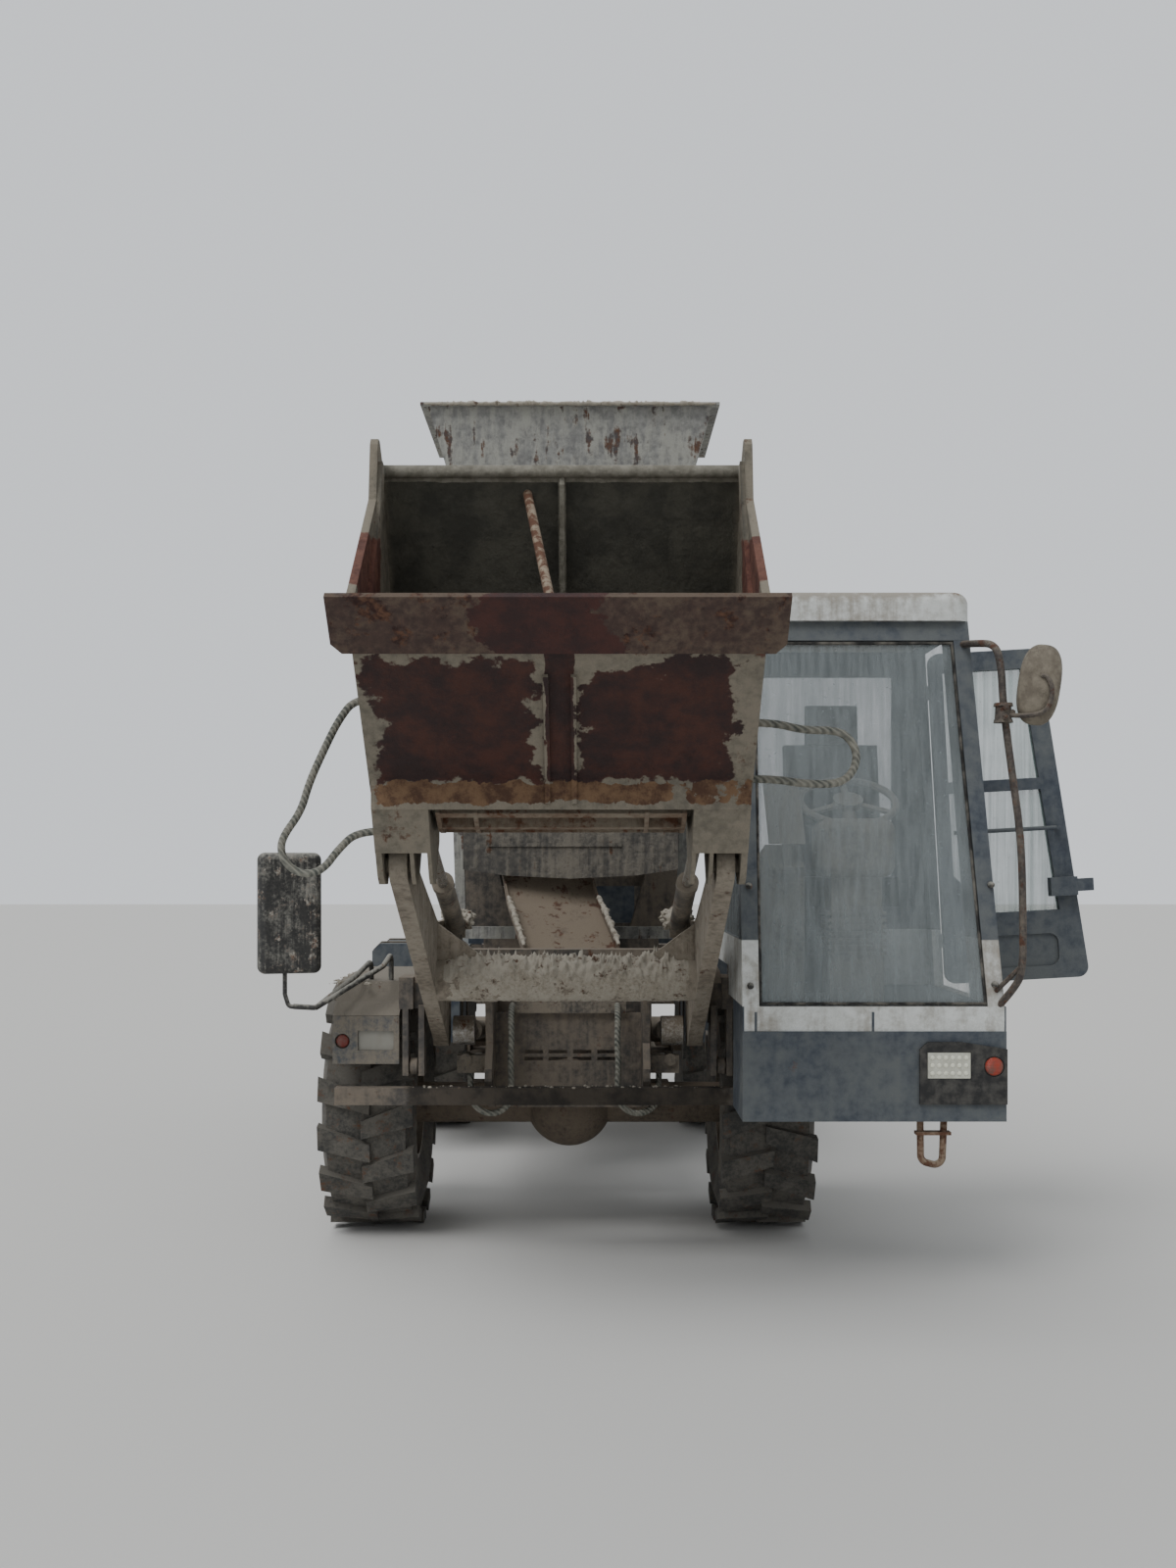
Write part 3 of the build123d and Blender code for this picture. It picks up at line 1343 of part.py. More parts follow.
def discharge_collector():
    """Cowl in front of the drum's mouth that drops the mix into the chute."""
    y = COLLECTOR_FRONT_Y
    half = COLLECTOR_HALF_WIDTH
    low = COLLECTOR_BOTTOM
    front = [
        (-half, low),
        (-half * 0.6, low - 30),
        (0, low - 45),
        (half * 0.6, low - 30),
        (half, low),
        (half, 2450),
        (432, 3030),
        (-432, 3030),
        (-half, 2450),
    ]
    plate = slab_y(front, y, y + 8)
    side = slab_x(
        [(y, low), (y, 2450), (600, 2450), (600, 2400), (790, 2280), (790, 1800), (640, low)],
        half - 8,
        half,
    )
    upper = [
        (half, y, 2450),
        (432, y, 3030),
        (432, y + 120, 3030),
        (half, y + 120, 2450),
    ]
    upper_face = Face(Wire.make_polygon([Vector(*corner) for corner in upper], close=True))
    upper_side = extrude(upper_face, 8, dir=(-1, 0, 0))
    strip = box(-400, 250, y - 8, y, 1700, 1718)
    pieces = [plate, strip] + both_sides(side) + both_sides(upper_side)
    bracket = box(half, half + 40, 760, 800, 1900, 1960)
    lower = box(half, half + 40, 760, 800, 2180, 2240)
    pieces += both_sides(bracket) + both_sides(lower)
    return joined(pieces)


def swing_chute():
    """Slewed trough below the collector with its flap, rails and sleeve."""
    x, y = CHUTE_PIVOT
    half = CHUTE_WIDTH / 2
    floor = slab_x(
        [(650, 1572), (500, 1418), (60, 1189), (60, 1195), (499, 1424), (645, 1576)], x - half,
        x + half,
    )
    rail = slab_x(
        [(650, 1582), (500, 1424), (60, 1195), (60, 1245), (478, 1462), (560, 1530), (600, 1552)],
        x + half - 6, x + half,
    )
    other = Pos(6 - CHUTE_WIDTH, 0, 0) * rail
    back = slab_x([(648, 1571), (520, 1440), (560, 1400), (712, 1400), (712, 1440)], x - 60, x - 44)
    twin = Pos(104, 0, 0) * back
    sleeve = bar_z(1300, 1470, x, y, 46)
    under = slab_x(
        [(500, 1421), (70, 1192), (70, 1170), (530, 1330), (690, 1330), (690, 1400), (560, 1440)],
        x - 20, x + 20,
    )
    chute = joined([floor, rail, other, back, twin, sleeve, under])
    chute -= bar_z(1190, 1600, x, y, 24.5)
    return turned_z(chute, CHUTE_PIVOT, CHUTE_SLEW)


def engine_block():
    """Engine, as one plain block at its real place."""
    return box(-300, 300, 3070, 3860, 900, 1450)


def engine_cover():
    """Fixed cover over the front of the engine, below the drum."""
    half = HOOD_HALF_WIDTH
    wall = HOOD_WALL
    low = REAR_BEAM_TOP
    outside = slab_x(
        [(3050, low), (3050, 1480), (3110, 1500), (3480, HOOD_TOP), (3490, HOOD_TOP), (3490, low)],
        -half, half,
    )
    inside = slab_x(
        [
            (3050 + wall, low - 1), (3050 + wall, 1477), (3110, 1496), (3478, HOOD_TOP - wall),
            (3491, HOOD_TOP - wall), (3491, low - 1),
        ],
        -half + wall,
        half - wall,
    )
    return outside - inside


def engine_hood():
    """Rear hood, hinged at its front edge, with grille slots behind."""
    half = HOOD_HALF_WIDTH
    wall = HOOD_WALL
    low = HOOD_BOTTOM
    front = HOOD_FRONT_Y + 4
    outside = slab_x(
        [(front, low), (front, HOOD_TOP), (3865, HOOD_TOP - 20), (HOOD_REAR_Y, HOOD_TOP - 90), (HOOD_REAR_Y, low)],
        -half, half,
    )
    inside = slab_x(
        [
            (front - 1, low - 1), (front - 1, HOOD_TOP - wall), (3864, HOOD_TOP - 20 - wall),
            (HOOD_REAR_Y - wall, HOOD_TOP - 93), (HOOD_REAR_Y - wall, low - 1),
        ],
        -half + wall,
        half - wall,
    )
    hood = outside - inside
    for row in range(6):
        z0 = low + 60 + row * 50
        hood -= box(-260, 260, HOOD_REAR_Y - 10, HOOD_REAR_Y + 10, z0, z0 + 24)
    return hood


def counterweight():
    """Heavy block behind the beams, with a notch for the towing pin."""
    block = slab_y([(-900, 760), (-900, 1060), (900, 1060), (900, 760), (760, 640), (-760, 640)], 3900, 4030)
    block -= box(-90, 90, 3920, 4040, 690, 790)
    return block - bar_z(630, 1070, 0, TOW_PIN_Y, 20.5)


def rear_fenders():
    """Flat fenders over the rear wheels with their brackets."""
    plate = slab_x(
        [(2180, 1090), (2240, 1130), (3260, 1130), (3330, 1085), (3336, 1091), (3262, 1138), (2238, 1138), (2174, 1096)],
        620, 1075,
    )
    flange = slab_x(
        [(2190, 1060), (2240, 1130), (3260, 1130), (3320, 1055), (3262, 1110), (2238, 1112)], 1067,
        1075,
    )
    pieces = [plate, flange]
    for y in (2400, 3080):
        pieces.append(box(REAR_BEAM_X - 28, 640, y, y + 60, 1138, 1180))
    return both_sides(joined(pieces))


def side_tanks():
    """Water tank and fuel tank between the axles with their straps."""
    profile = [(620, 640), (620, 1150), (660, 1180), (1060, 1180), (1100, 1140), (1100, 680), (1060, 640)]
    tanks = []
    for side in (1, -1):
        body = slab_y(profile, TANK_FRONT_Y, TANK_REAR_Y)
        cap = bar_z(1180, 1215, 860, TANK_FRONT_Y + 140, 45)
        tank = body + cap
        for y in (TANK_FRONT_Y + 100, TANK_REAR_Y - 140):
            tank += box(REAR_BEAM_X - 28, 622, y, y + 50, 1040, 1090)
        tanks.append(tank if side > 0 else mirror(tank, about=Plane.YZ))
    return tanks


def exhaust_pipe():
    """Silencer and upright pipe behind the drum."""
    silencer = bar_z(1300, 1720, -560, 3360, 70)
    pipe = bar_z(1700, 2050, -560, 3360, 30)
    bracket = box(-560, -440, 3340, 3380, 1250, 1310)
    foot = box(-500, -REAR_BEAM_X + 28, 3330, 3390, 1170, 1220)
    web = box(-500, -445, 3330, 3390, 1220, 1260)
    return joined([silencer, pipe, bracket, foot, web])


def rear_lamps():
    """Lamp cases on the counterweight's ends."""
    case = box(600, 820, 4030, 4075, 880, 970)
    lens = box(610, 700, 4075, 4083, 888, 962)
    return both_sides(case + lens)


# Hoses


def arc_corners(centre, radius, first, step, count):
    """Corners of a polygon about an arc: the first angle, the step and how many."""
    reach = radius / cos(radians(step / 2))
    corners = []
    for index in range(count):
        turn = radians(first + index * step)
        corners.append((centre[0] + reach * cos(turn), centre[1] + reach * sin(turn)))
    return corners


def hose(name, route, radius):
    """A hose of straight runs with tangent bends; prints its tightest bend."""
    points = [Vector(*point) for point in route]
    bends = []
    for before, corner, after in zip(points, points[1:], points[2:]):
        come = corner - before
        go = after - corner
        half_turn = come.get_angle(go) / 2
        bends.append(0.45 * min(come.length, go.length) / tan(radians(half_turn)))
    path = FilletPolyline(*points, radius=bends)
    print(name, "tightest bend", round(min(bends)), "length", round(path.length))
    return sweep(Plane(origin=path @ 0, z_dir=path % 0) * Circle(radius), path=path)


def front_hose_route(inner_x, outer_x):
    """From the manifold's face forward, down, round under the rail and up."""
    side = 1 if outer_x > 0 else -1
    bend_y = MANIFOLD_FACE_Y - 34
    quarter = arc_corners((bend_y, MANIFOLD_PORT_Z - HOSE_BEND), HOSE_BEND, 105, 30, 3)
    route = [(inner_x, MANIFOLD_FACE_Y - 0.3, MANIFOLD_PORT_Z)]
    route += [(inner_x, y, z) for y, z in quarter]
    route.append((inner_x - side * 3, bend_y - 90, 858))
    route.append((inner_x + side * 3, bend_y - 88, 770))
    route.append((inner_x - side * 1, bend_y - 84, 690))
    middle = (abs(inner_x) + abs(outer_x)) / 2
    turn = arc_corners((middle, 640), HOSE_BEND, 198, 36, 5)
    for (x, z), y in zip(turn, (-446, -438, -426, -415, -405)):
        route.append((side * x, y, z))
    route.append((outer_x, -405, VALVE_BOTTOM - 0.3))
    return route


FRONT_HOSES = (
    ("front_hose_right", -242, -418),
    ("front_hose_left", 212, 388),
)


def valve_blocks():
    """The manifold over the front plate and a valve block outside each rail."""
    outer = FRONT_RAIL_X + RAIL_THICKNESS / 2
    manifold = box(-250, 250, MANIFOLD_FACE_Y, -298, 970, 1040)
    blocks = []
    for side in (1, -1):
        block = box(side * outer, side * (outer + 127), -440, -370, VALVE_BOTTOM, 800)
        blocks.append(block + bar_y(-450, -360, side * (outer + 90), 782, 26))
    return [manifold] + blocks


def right_bucket_route():
    """Hose loop on the bucket's right side, from its side to its ear."""
    half = BUCKET_HALF_WIDTH
    turn = arc_corners((-850, 1668), HOSE_BEND, 162, 36, 5)
    route = [(-half - 0.3, -1850, 2168), (-694, -1850, 2168), (-750, -1856, 2095)]
    route += [(-800, -1864, 1990), (-848, -1869, 1880), (-873, -1874, 1786)]
    route += [(x, y, z) for (x, z), y in zip(turn, (-1878, -1881, -1884, -1886, -1888))]
    route += [(-746, -1889, 1660), (-684, -1882, 1720), (-EAR_OUTER - 0.3, -1882, 1720)]
    return route


def left_bucket_route():
    """Hose loop on the bucket's left side, both ends on its side plate."""
    half = BUCKET_HALF_WIDTH
    turn = arc_corners((868, 1958), HOSE_BEND, 72, -36, 5)
    route = [(half + 0.3, -1992, 2072), (692, -1992, 2072), (786, -2004, 2046)]
    route += [(x, y, z) for (x, z), y in zip(turn, (-2010, -2014, -2017, -2020, -2022))]
    route += [(786, -2022, 1870.5), (690, -2014, 1887), (half + 0.3, -2014, 1887)]
    return route


# Nodes

os.makedirs("parts", exist_ok=True)

write_node("front_chassis", front_chassis())
write_node("front_axle", axle(0))
write_node("right_fender", right_fender())
write_node("cab_floor", cab_floor())
write_node("cab_frame", cab_frame())
write_node("cab_roof", cab_roof())
write_node("cab_windows", cab_windows())
write_node("operator_seat", operator_seat())
write_node("steering_console", steering_console())
write_node("side_console", side_console())
write_node("cab_mirror", cab_mirror())
write_node("fender_mirror", fender_mirror())
write_node("cab_step", cab_step())
write_node("front_lamps", front_lamps())
write_node("valve_blocks", valve_blocks())
for name, inner_x, outer_x in FRONT_HOSES:
    write_node(name, hose(name, front_hose_route(inner_x, outer_x), HOSE_RADIUS))
write_node("cab_door", cab_door())
write_node("door_glass", door_glass())

write_node("loader_arms", loader_arms())
write_node("bucket_body", bucket_body())
write_node("cutting_edge", cutting_edge())
write_node("tie_rod", tie_rod())
write_node("bucket_hose_right", hose("bucket_hose_right", right_bucket_route(), HOSE_RADIUS))
write_node("bucket_hose_left", hose("bucket_hose_left", left_bucket_route(), HOSE_RADIUS))
write_node("bucket_gate", bucket_gate())
write_node("lift_barrels", pair(cylinder_barrel, LIFT_BASE, BOOM_TOE, LIFT_X, LIFT_SIZES))
write_node("lift_rods", pair(cylinder_rod, LIFT_BASE, BOOM_TOE, LIFT_X, LIFT_SIZES, 200))
write_node("tilt_barrels", pair(cylinder_barrel, TILT_BASE, TILT_EYE, TILT_X, TILT_SIZES))
write_node("tilt_rods", pair(cylinder_rod, TILT_BASE, TILT_EYE, TILT_X, TILT_SIZES, 150))
write_node(
    "gate_barrels",
    pair(cylinder_barrel, GATE_CYLINDER_BASE, GATE_CYLINDER_EYE, GATE_CYLINDER_X, GATE_SIZES),
)
write_node(
    "gate_rods",
    pair(cylinder_rod, GATE_CYLINDER_BASE, GATE_CYLINDER_EYE, GATE_CYLINDER_X, GATE_SIZES, 150),
)
for side, word in ((1, "left"), (-1, "right")):
    write_node(f"steer_barrel_{word}", steering(cylinder_barrel, side))
    write_node(f"steer_rod_{word}", steering(cylinder_rod, side, 250))

write_node("rear_chassis", rear_chassis())
write_node("rear_axle", axle(WHEELBASE))
write_node("drum_supports", drum_supports())
write_node("drum", mixing_drum())
write_node("feed_hopper", feed_hopper())
write_node("discharge_collector", discharge_collector())
write_node("chute", swing_chute())
write_node("engine_block", engine_block())
write_node("engine_cover", engine_cover())
write_node("engine_hood", engine_hood())
write_node("counterweight", counterweight())
write_node("rear_fenders", rear_fenders())
write_node("side_tanks", side_tanks())
write_node("exhaust_pipe", exhaust_pipe())
write_node("rear_lamps", rear_lamps())

rubber = tyre()
wheel = rim()
WHEELS = (
    ("front_left", 1, 0),
    ("front_right", -1, 0),
    ("rear_left", 1, WHEELBASE),
    ("rear_right", -1, WHEELBASE),
)
for word, side, y in WHEELS:
    place = Pos(side * TRACK / 2, y, AXLE_HEIGHT)
    turn = Rot(0, 0, 0) if side > 0 else Rot(0, 0, 180)
    write_node(f"tyre_{word}", place * turn * rubber)
    write_node(f"rim_{word}", place * turn * wheel)
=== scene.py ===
import math
import random

import bmesh
import bpy
from mathutils import Matrix, Vector, noise


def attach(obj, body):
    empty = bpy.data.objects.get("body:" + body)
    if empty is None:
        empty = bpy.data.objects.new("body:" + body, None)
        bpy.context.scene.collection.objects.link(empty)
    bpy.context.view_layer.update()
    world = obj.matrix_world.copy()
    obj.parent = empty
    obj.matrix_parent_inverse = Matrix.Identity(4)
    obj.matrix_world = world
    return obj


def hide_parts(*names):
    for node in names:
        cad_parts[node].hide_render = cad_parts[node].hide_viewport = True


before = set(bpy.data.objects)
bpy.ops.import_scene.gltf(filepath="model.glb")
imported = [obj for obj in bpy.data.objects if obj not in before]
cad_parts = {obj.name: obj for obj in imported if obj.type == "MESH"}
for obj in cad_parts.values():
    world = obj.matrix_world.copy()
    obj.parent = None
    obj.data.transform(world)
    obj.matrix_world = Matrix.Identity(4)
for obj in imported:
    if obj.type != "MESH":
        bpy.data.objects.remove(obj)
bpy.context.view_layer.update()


# The photograph's camera and a plain studio. The camera stands at eye height in
# front of the machine, a little to the cab's side. Places are in millimetres in
# the machine's own frame: X = 0 its centreline, Y = 0 its front axle, Z = 0 the ground.
def at(x, y, z):
    """A place of the machine in the shared frame, in metres."""
    return Vector(((x - 510) / 1000, (y - 700) / 1000, z / 1000))


def put(tree, kind, values=(), **settings):
    """Add a node; each value goes to its input, as a number or as a link."""
    node = tree.nodes.new(kind)
    for key, value in settings.items():
        setattr(node, key, value)
    for key, value in dict(values).items():
        socket = node.inputs[key]
        if isinstance(value, bpy.types.NodeSocket):
            tree.links.new(value, socket)
        else:
            socket.default_value = value
    return node


EYE = (85, -7110, 1600)
HORIZON_LIFT = 85
IMAGE_HEIGHT = 1600
view = bpy.data.cameras.new("photo_view")
view.lens = view.sensor_width = 36
view.shift_y = HORIZON_LIFT / IMAGE_HEIGHT
view.clip_end = 200
camera = bpy.data.objects.new("photo_view", view)
camera.location = at(*EYE)
camera.rotation_euler = (math.radians(90), 0, 0)
bpy.context.scene.collection.objects.link(camera)
bpy.context.scene.camera = camera

ground_mesh = bpy.data.meshes.new("ground")
FLOOR_HALF = 60
floor_corners = [(x * FLOOR_HALF, y * FLOOR_HALF, 0) for x, y in ((-1, -1), (1, -1), (1, 1), (-1, 1))]
ground_mesh.from_pydata(floor_corners, [], [(0, 1, 2, 3)])
ground = bpy.data.objects.new("ground", ground_mesh)
ground.location.z = -0.0005
bpy.context.scene.collection.objects.link(ground)

pale = bpy.data.materials.new("pale_ground")
pale.use_nodes = True
pale.node_tree.nodes["Principled BSDF"].inputs["Base Color"].default_value = (0.62, 0.61, 0.59, 1)
pale.node_tree.nodes["Principled BSDF"].inputs["Roughness"].default_value = 0.95
ground_mesh.materials.append(pale)

world = bpy.data.worlds.new("studio")
bpy.context.scene.world = world
world.use_nodes = True
air = world.node_tree
air.nodes.clear()
rays = put(air, "ShaderNodeLightPath")
straight = {0: rays.outputs["Is Camera Ray"], 1: rays.outputs["Is Transmission Ray"]}
direct = put(air, "ShaderNodeMath", straight, operation="MAXIMUM")
lit = put(air, "ShaderNodeBackground", {"Color": (0.93, 0.97, 1, 1), "Strength": 0.62})
seen = put(air, "ShaderNodeBackground", {"Color": (0.86, 0.89, 0.93, 1), "Strength": 1})
sky = put(air, "ShaderNodeMixShader", {0: direct.outputs[0], 1: lit.outputs[0], 2: seen.outputs[0]})
put(air, "ShaderNodeOutputWorld", {"Surface": sky.outputs[0]})

LAMPS = (
    # name, strength, softness in degrees, turn from straight down about X and Z
    ("key", 1.5, 35, 38, -35),
    ("back", 0.6, 60, -50, 30),
)
for name, strength, soft, tilt, turn in LAMPS:
    lamp = bpy.data.lights.new(name, "SUN")
    lamp.energy = strength
    lamp.angle = math.radians(soft)
    lamp_object = bpy.data.objects.new(name, lamp)
    lamp_object.rotation_euler = (math.radians(tilt), 0, math.radians(turn))
    bpy.context.scene.collection.objects.link(lamp_object)


# Dirt, rust and dried mix lie on every surface of this machine. One group lays
# them over a paint: broad patches, fine grain, drips that run down, and dust
# that settles on what faces up.
def open_group(name, inputs, outputs):
    """A shader node group with its named sockets."""
    tree = bpy.data.node_groups.new(name, "ShaderNodeTree")
    for label, kind, default in inputs:
        socket = tree.interface.new_socket(label, in_out="INPUT", socket_type="NodeSocket" + kind)
        socket.default_value = default
    for label, kind in outputs:
        tree.interface.new_socket(label, in_out="OUTPUT", socket_type="NodeSocket" + kind)
    return tree, tree.nodes.new("NodeGroupInput"), tree.nodes.new("NodeGroupOutput")


def figure(tree, operation, first, second=0.0, third=0.0):
    """The result of a math node."""
    return put(tree, "ShaderNodeMath", {0: first, 1: second, 2: third}, operation=operation).outputs[0]


def blended(tree, share, first, second):
    """Two colours mixed by a share."""
    node = put(tree, "ShaderNodeMix", {0: share}, data_type="RGBA")
    for index, value in ((6, first), (7, second)):
        if isinstance(value, bpy.types.NodeSocket):
            tree.links.new(value, node.inputs[index])
        else:
            node.inputs[index].default_value = value
    return node.outputs[2]


def covered(tree, value, amount, edge):
    """A mask of a noise value: all of it at an amount of 1, none at 0."""
    limit = figure(tree, "MULTIPLY_ADD", amount, -0.5, 0.75)
    low = figure(tree, "SUBTRACT", limit, edge)
    high = figure(tree, "ADD", limit, edge)
    span = {"Value": value, "From Min": low, "From Max": high}
    return put(tree, "ShaderNodeMapRange", span, interpolation_type="SMOOTHSTEP").outputs["Result"]


def grain(tree, place, scale, detail=5.0, rough=0.6, warp=0.0):
    """The value of a noise texture at a place."""
    values = {"Vector": place, "Scale": scale, "Detail": detail, "Roughness": rough, "Distortion": warp}
    return put(tree, "ShaderNodeTexNoise", values).outputs[0]


weather, given, result = open_group(
    "weather",
    [
        ("Paint", "Color", (0.5, 0.5, 0.5, 1)),
        ("Faded", "Color", (0.6, 0.6, 0.6, 1)),
        ("Dust", "Color", (0.45, 0.41, 0.36, 1)),
        ("Dust amount", "Float", 0.4),
        ("Rust", "Color", (0.16, 0.05, 0.03, 1)),
        ("Rust amount", "Float", 0.1),
        ("Drips", "Float", 0.3),
        ("Scale", "Float", 2.5),
        ("Gloss roughness", "Float", 0.45),
    ],
    [("Color", "Color"), ("Roughness", "Float"), ("Height", "Float")],
)
take = given.outputs
here = put(weather, "ShaderNodeTexCoord").outputs["Object"]
broad = grain(weather, here, take["Scale"], 7, 0.62)
small = grain(weather, here, figure(weather, "MULTIPLY", take["Scale"], 9), 5, 0.65)
gritty = grain(weather, here, 420, 3, 0.7)
flat = put(weather, "ShaderNodeVectorMath", {0: here, 1: (9, 9, 0.55)}, operation="MULTIPLY").outputs[0]
run = grain(weather, flat, take["Scale"], 4, 0.55)
normal = put(weather, "ShaderNodeNewGeometry").outputs["Normal"]
up = figure(weather, "MAXIMUM", put(weather, "ShaderNodeSeparateXYZ", {0: normal}).outputs["Z"], 0)
settled = figure(weather, "MULTIPLY_ADD", small, 0.35, figure(weather, "MULTIPLY", broad, 0.65))
settled = figure(weather, "MULTIPLY_ADD", up, 0.22, settled)
settled = figure(weather, "MULTIPLY_ADD", figure(weather, "SUBTRACT", run, 0.5), take["Drips"], settled)
dusty = covered(weather, settled, take["Dust amount"], 0.13)
elsewhere = put(weather, "ShaderNodeVectorMath", {0: here, 1: (7.3, 2.1, 5.7)}).outputs[0]
other = grain(weather, elsewhere, figure(weather, "MULTIPLY", take["Scale"], 2.2), 8, 0.7)
rusted = figure(weather, "MULTIPLY_ADD", figure(weather, "SUBTRACT", run, 0.5), take["Drips"], other)
rusty = covered(weather, rusted, take["Rust amount"], 0.05)
paint = blended(weather, covered(weather, small, 0.5, 0.2), take["Paint"], take["Faded"])
shade = blended(weather, covered(weather, gritty, 0.5, 0.3), (0.82, 0.82, 0.82, 1), (1.12, 1.12, 1.12, 1))
rust_tone = blended(weather, covered(weather, small, 0.45, 0.15), take["Rust"], (0.13, 0.062, 0.036, 1))
laid = blended(weather, dusty, paint, take["Dust"])
laid = blended(weather, rusty, laid, rust_tone)
toned = put(weather, "ShaderNodeMix", {0: 1.0}, data_type="RGBA", blend_type="MULTIPLY")
weather.links.new(laid, toned.inputs[6])
weather.links.new(shade, toned.inputs[7])
weather.links.new(toned.outputs[2], result.inputs["Color"])
matt = figure(weather, "MAXIMUM", dusty, rusty)
DULLEST = 0.93
duller = figure(weather, "SUBTRACT", DULLEST, take["Gloss roughness"])
dulled = figure(weather, "MULTIPLY_ADD", matt, duller, take["Gloss roughness"])
weather.links.new(dulled, result.inputs["Roughness"])
relief = figure(weather, "MULTIPLY_ADD", small, 0.6, figure(weather, "MULTIPLY", gritty, 0.35))
relief = figure(weather, "MULTIPLY", relief, figure(weather, "MULTIPLY_ADD", matt, 0.85, 0.15))
weather.links.new(relief, result.inputs["Height"])


def material_of(name, metallic=0.0):
    """A new material with its shader, whose other values the caller sets."""
    made = bpy.data.materials.new(name)
    made.use_nodes = True
    shader = made.node_tree.nodes["Principled BSDF"]
    shader.inputs["Metallic"].default_value = metallic
    return made, made.node_tree, shader


def bumped(tree, shader, height, distance, strength=1.0):
    """Feed a height to the shader's normal."""
    bump = put(tree, "ShaderNodeBump", {"Height": height, "Distance": distance, "Strength": strength})
    tree.links.new(bump.outputs["Normal"], shader.inputs["Normal"])


def weathered(name, bump=0.003, metallic=0.0, **values):
    """A material laid down by the weather group with its own values."""
    made, tree, shader = material_of(name, metallic)
    coat = put(tree, "ShaderNodeGroup", node_tree=weather)
    for label, value in values.items():
        socket = coat.inputs[label.replace("_", " ").capitalize()]
        socket.default_value = (*value, 1) if isinstance(value, tuple) else value
    tree.links.new(coat.outputs["Color"], shader.inputs["Base Color"])
    tree.links.new(coat.outputs["Roughness"], shader.inputs["Roughness"])
    bumped(tree, shader, coat.outputs["Height"], bump)
    return made


def finish_node(name, made):
    """Give a node of the frame its material."""
    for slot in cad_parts[name].material_slots:
        slot.material = made


def tone(red, green, blue):
    """A colour as seen on the object, out of 255, as the shader's own values."""
    shares = (red / 255, green / 255, blue / 255)
    return tuple(share / 12.92 if share < 0.0404 else ((share + 0.055) / 1.055) ** 2.4 for share in shares)


# Frame steel: rails, axles and beams of dark painted plate, dusty all over and
# caked with mud and dried mix near the wheels.
chassis_paint = weathered(
    "dusty_frame_paint",
    paint=tone(58, 56, 54),
    faded=tone(86, 80, 74),
    dust=tone(122, 112, 100),
    dust_amount=0.5,
    rust=tone(70, 48, 38),
    rust_amount=0.2,
    drips=0.35,
    scale=3.2,
    gloss_roughness=0.6,
    bump=0.004,
)
axle_mud = weathered(
    "axle_mud",
    paint=tone(70, 62, 54),
    faded=tone(98, 88, 76),
    dust=tone(118, 106, 92),
    dust_amount=0.62,
    rust=tone(66, 42, 30),
    rust_amount=0.2,
    drips=0.2,
    scale=5.0,
    gloss_roughness=0.8,
    bump=0.008,
)
for name in ("rear_chassis", "drum_supports", "counterweight", "engine_block"):
    finish_node(name, chassis_paint)
for name in ("front_axle", "rear_axle"):
    finish_node(name, axle_mud)


# Loader arms, hopper, collector and chute: bare and painted plate under a skin of
# dried cement, tan grey with dark stains and rust at the edges.
cement_skin = weathered(
    "cement_skin",
    paint=tone(102, 93, 81),
    faded=tone(132, 122, 108),
    dust=tone(154, 145, 131),
    dust_amount=0.5,
    rust=tone(84, 58, 44),
    rust_amount=0.2,
    drips=0.4,
    scale=4.0,
    gloss_roughness=0.8,
    bump=0.009,
)
hopper_skin = weathered(
    "hopper_skin",
    paint=tone(112, 111, 110),
    faded=tone(146, 146, 142),
    dust=tone(164, 163, 156),
    dust_amount=0.5,
    rust=tone(84, 80, 80),
    rust_amount=0.24,
    drips=0.9,
    scale=3.0,
    gloss_roughness=0.7,
    bump=0.007,
)
collector_skin = weathered(
    "collector_skin",
    paint=tone(62, 60, 58),
    faded=tone(90, 86, 80),
    dust=tone(126, 120, 110),
    dust_amount=0.42,
    rust=tone(74, 58, 46),
    rust_amount=0.16,
    drips=0.6,
    scale=3.5,
    gloss_roughness=0.7,
    bump=0.008,
)
chute_skin = weathered(
    "chute_skin",
    paint=tone(92, 80, 70),
    faded=tone(112, 99, 86),
    dust=tone(128, 116, 101),
    dust_amount=0.42,
    rust=tone(84, 62, 52),
    rust_amount=0.3,
    drips=0.5,
    scale=4.5,
    gloss_roughness=0.8,
    bump=0.006,
)
finish_node("loader_arms", cement_skin)
finish_node("feed_hopper", hopper_skin)
finish_node("discharge_collector", collector_skin)
finish_node("chute", chute_skin)


# Shovel: a steel shell grey with dried mix. Its paint has come off below in ragged
# maroon patches beside the middle rib, with a rusty band under them. The gate and
# the cutting edge are rusty, and the edge is brighter along its lip.
ragged, given, result = open_group(
    "ragged_patch",
    [
        ("Centre", "Vector", (0, 0, 0)),
        ("Half size", "Vector", (1, 1, 1)),
        ("Rag", "Float", 0.5),
        ("Fineness", "Float", 9.0),
    ],
    [("Mask", "Float")],
)
take = given.outputs
here = put(ragged, "ShaderNodeTexCoord").outputs["Object"]
away = put(ragged, "ShaderNodeVectorMath", {0: here, 1: take["Centre"]}, operation="SUBTRACT").outputs[0]
away = put(ragged, "ShaderNodeVectorMath", {0: away, 1: take["Half size"]}, operation="DIVIDE").outputs[0]
away = put(ragged, "ShaderNodeVectorMath", {0: away}, operation="ABSOLUTE").outputs[0]
along = put(ragged, "ShaderNodeSeparateXYZ", {0: away}).outputs
reach = figure(ragged, "MAXIMUM", figure(ragged, "MAXIMUM", along[0], along[1]), along[2])
torn = figure(ragged, "SUBTRACT", grain(ragged, here, take["Fineness"], 8, 0.62), 0.5)
reach = figure(ragged, "MULTIPLY_ADD", torn, take["Rag"], reach)
span = {"Value": reach, "From Min": 1.0, "From Max": 0.94}
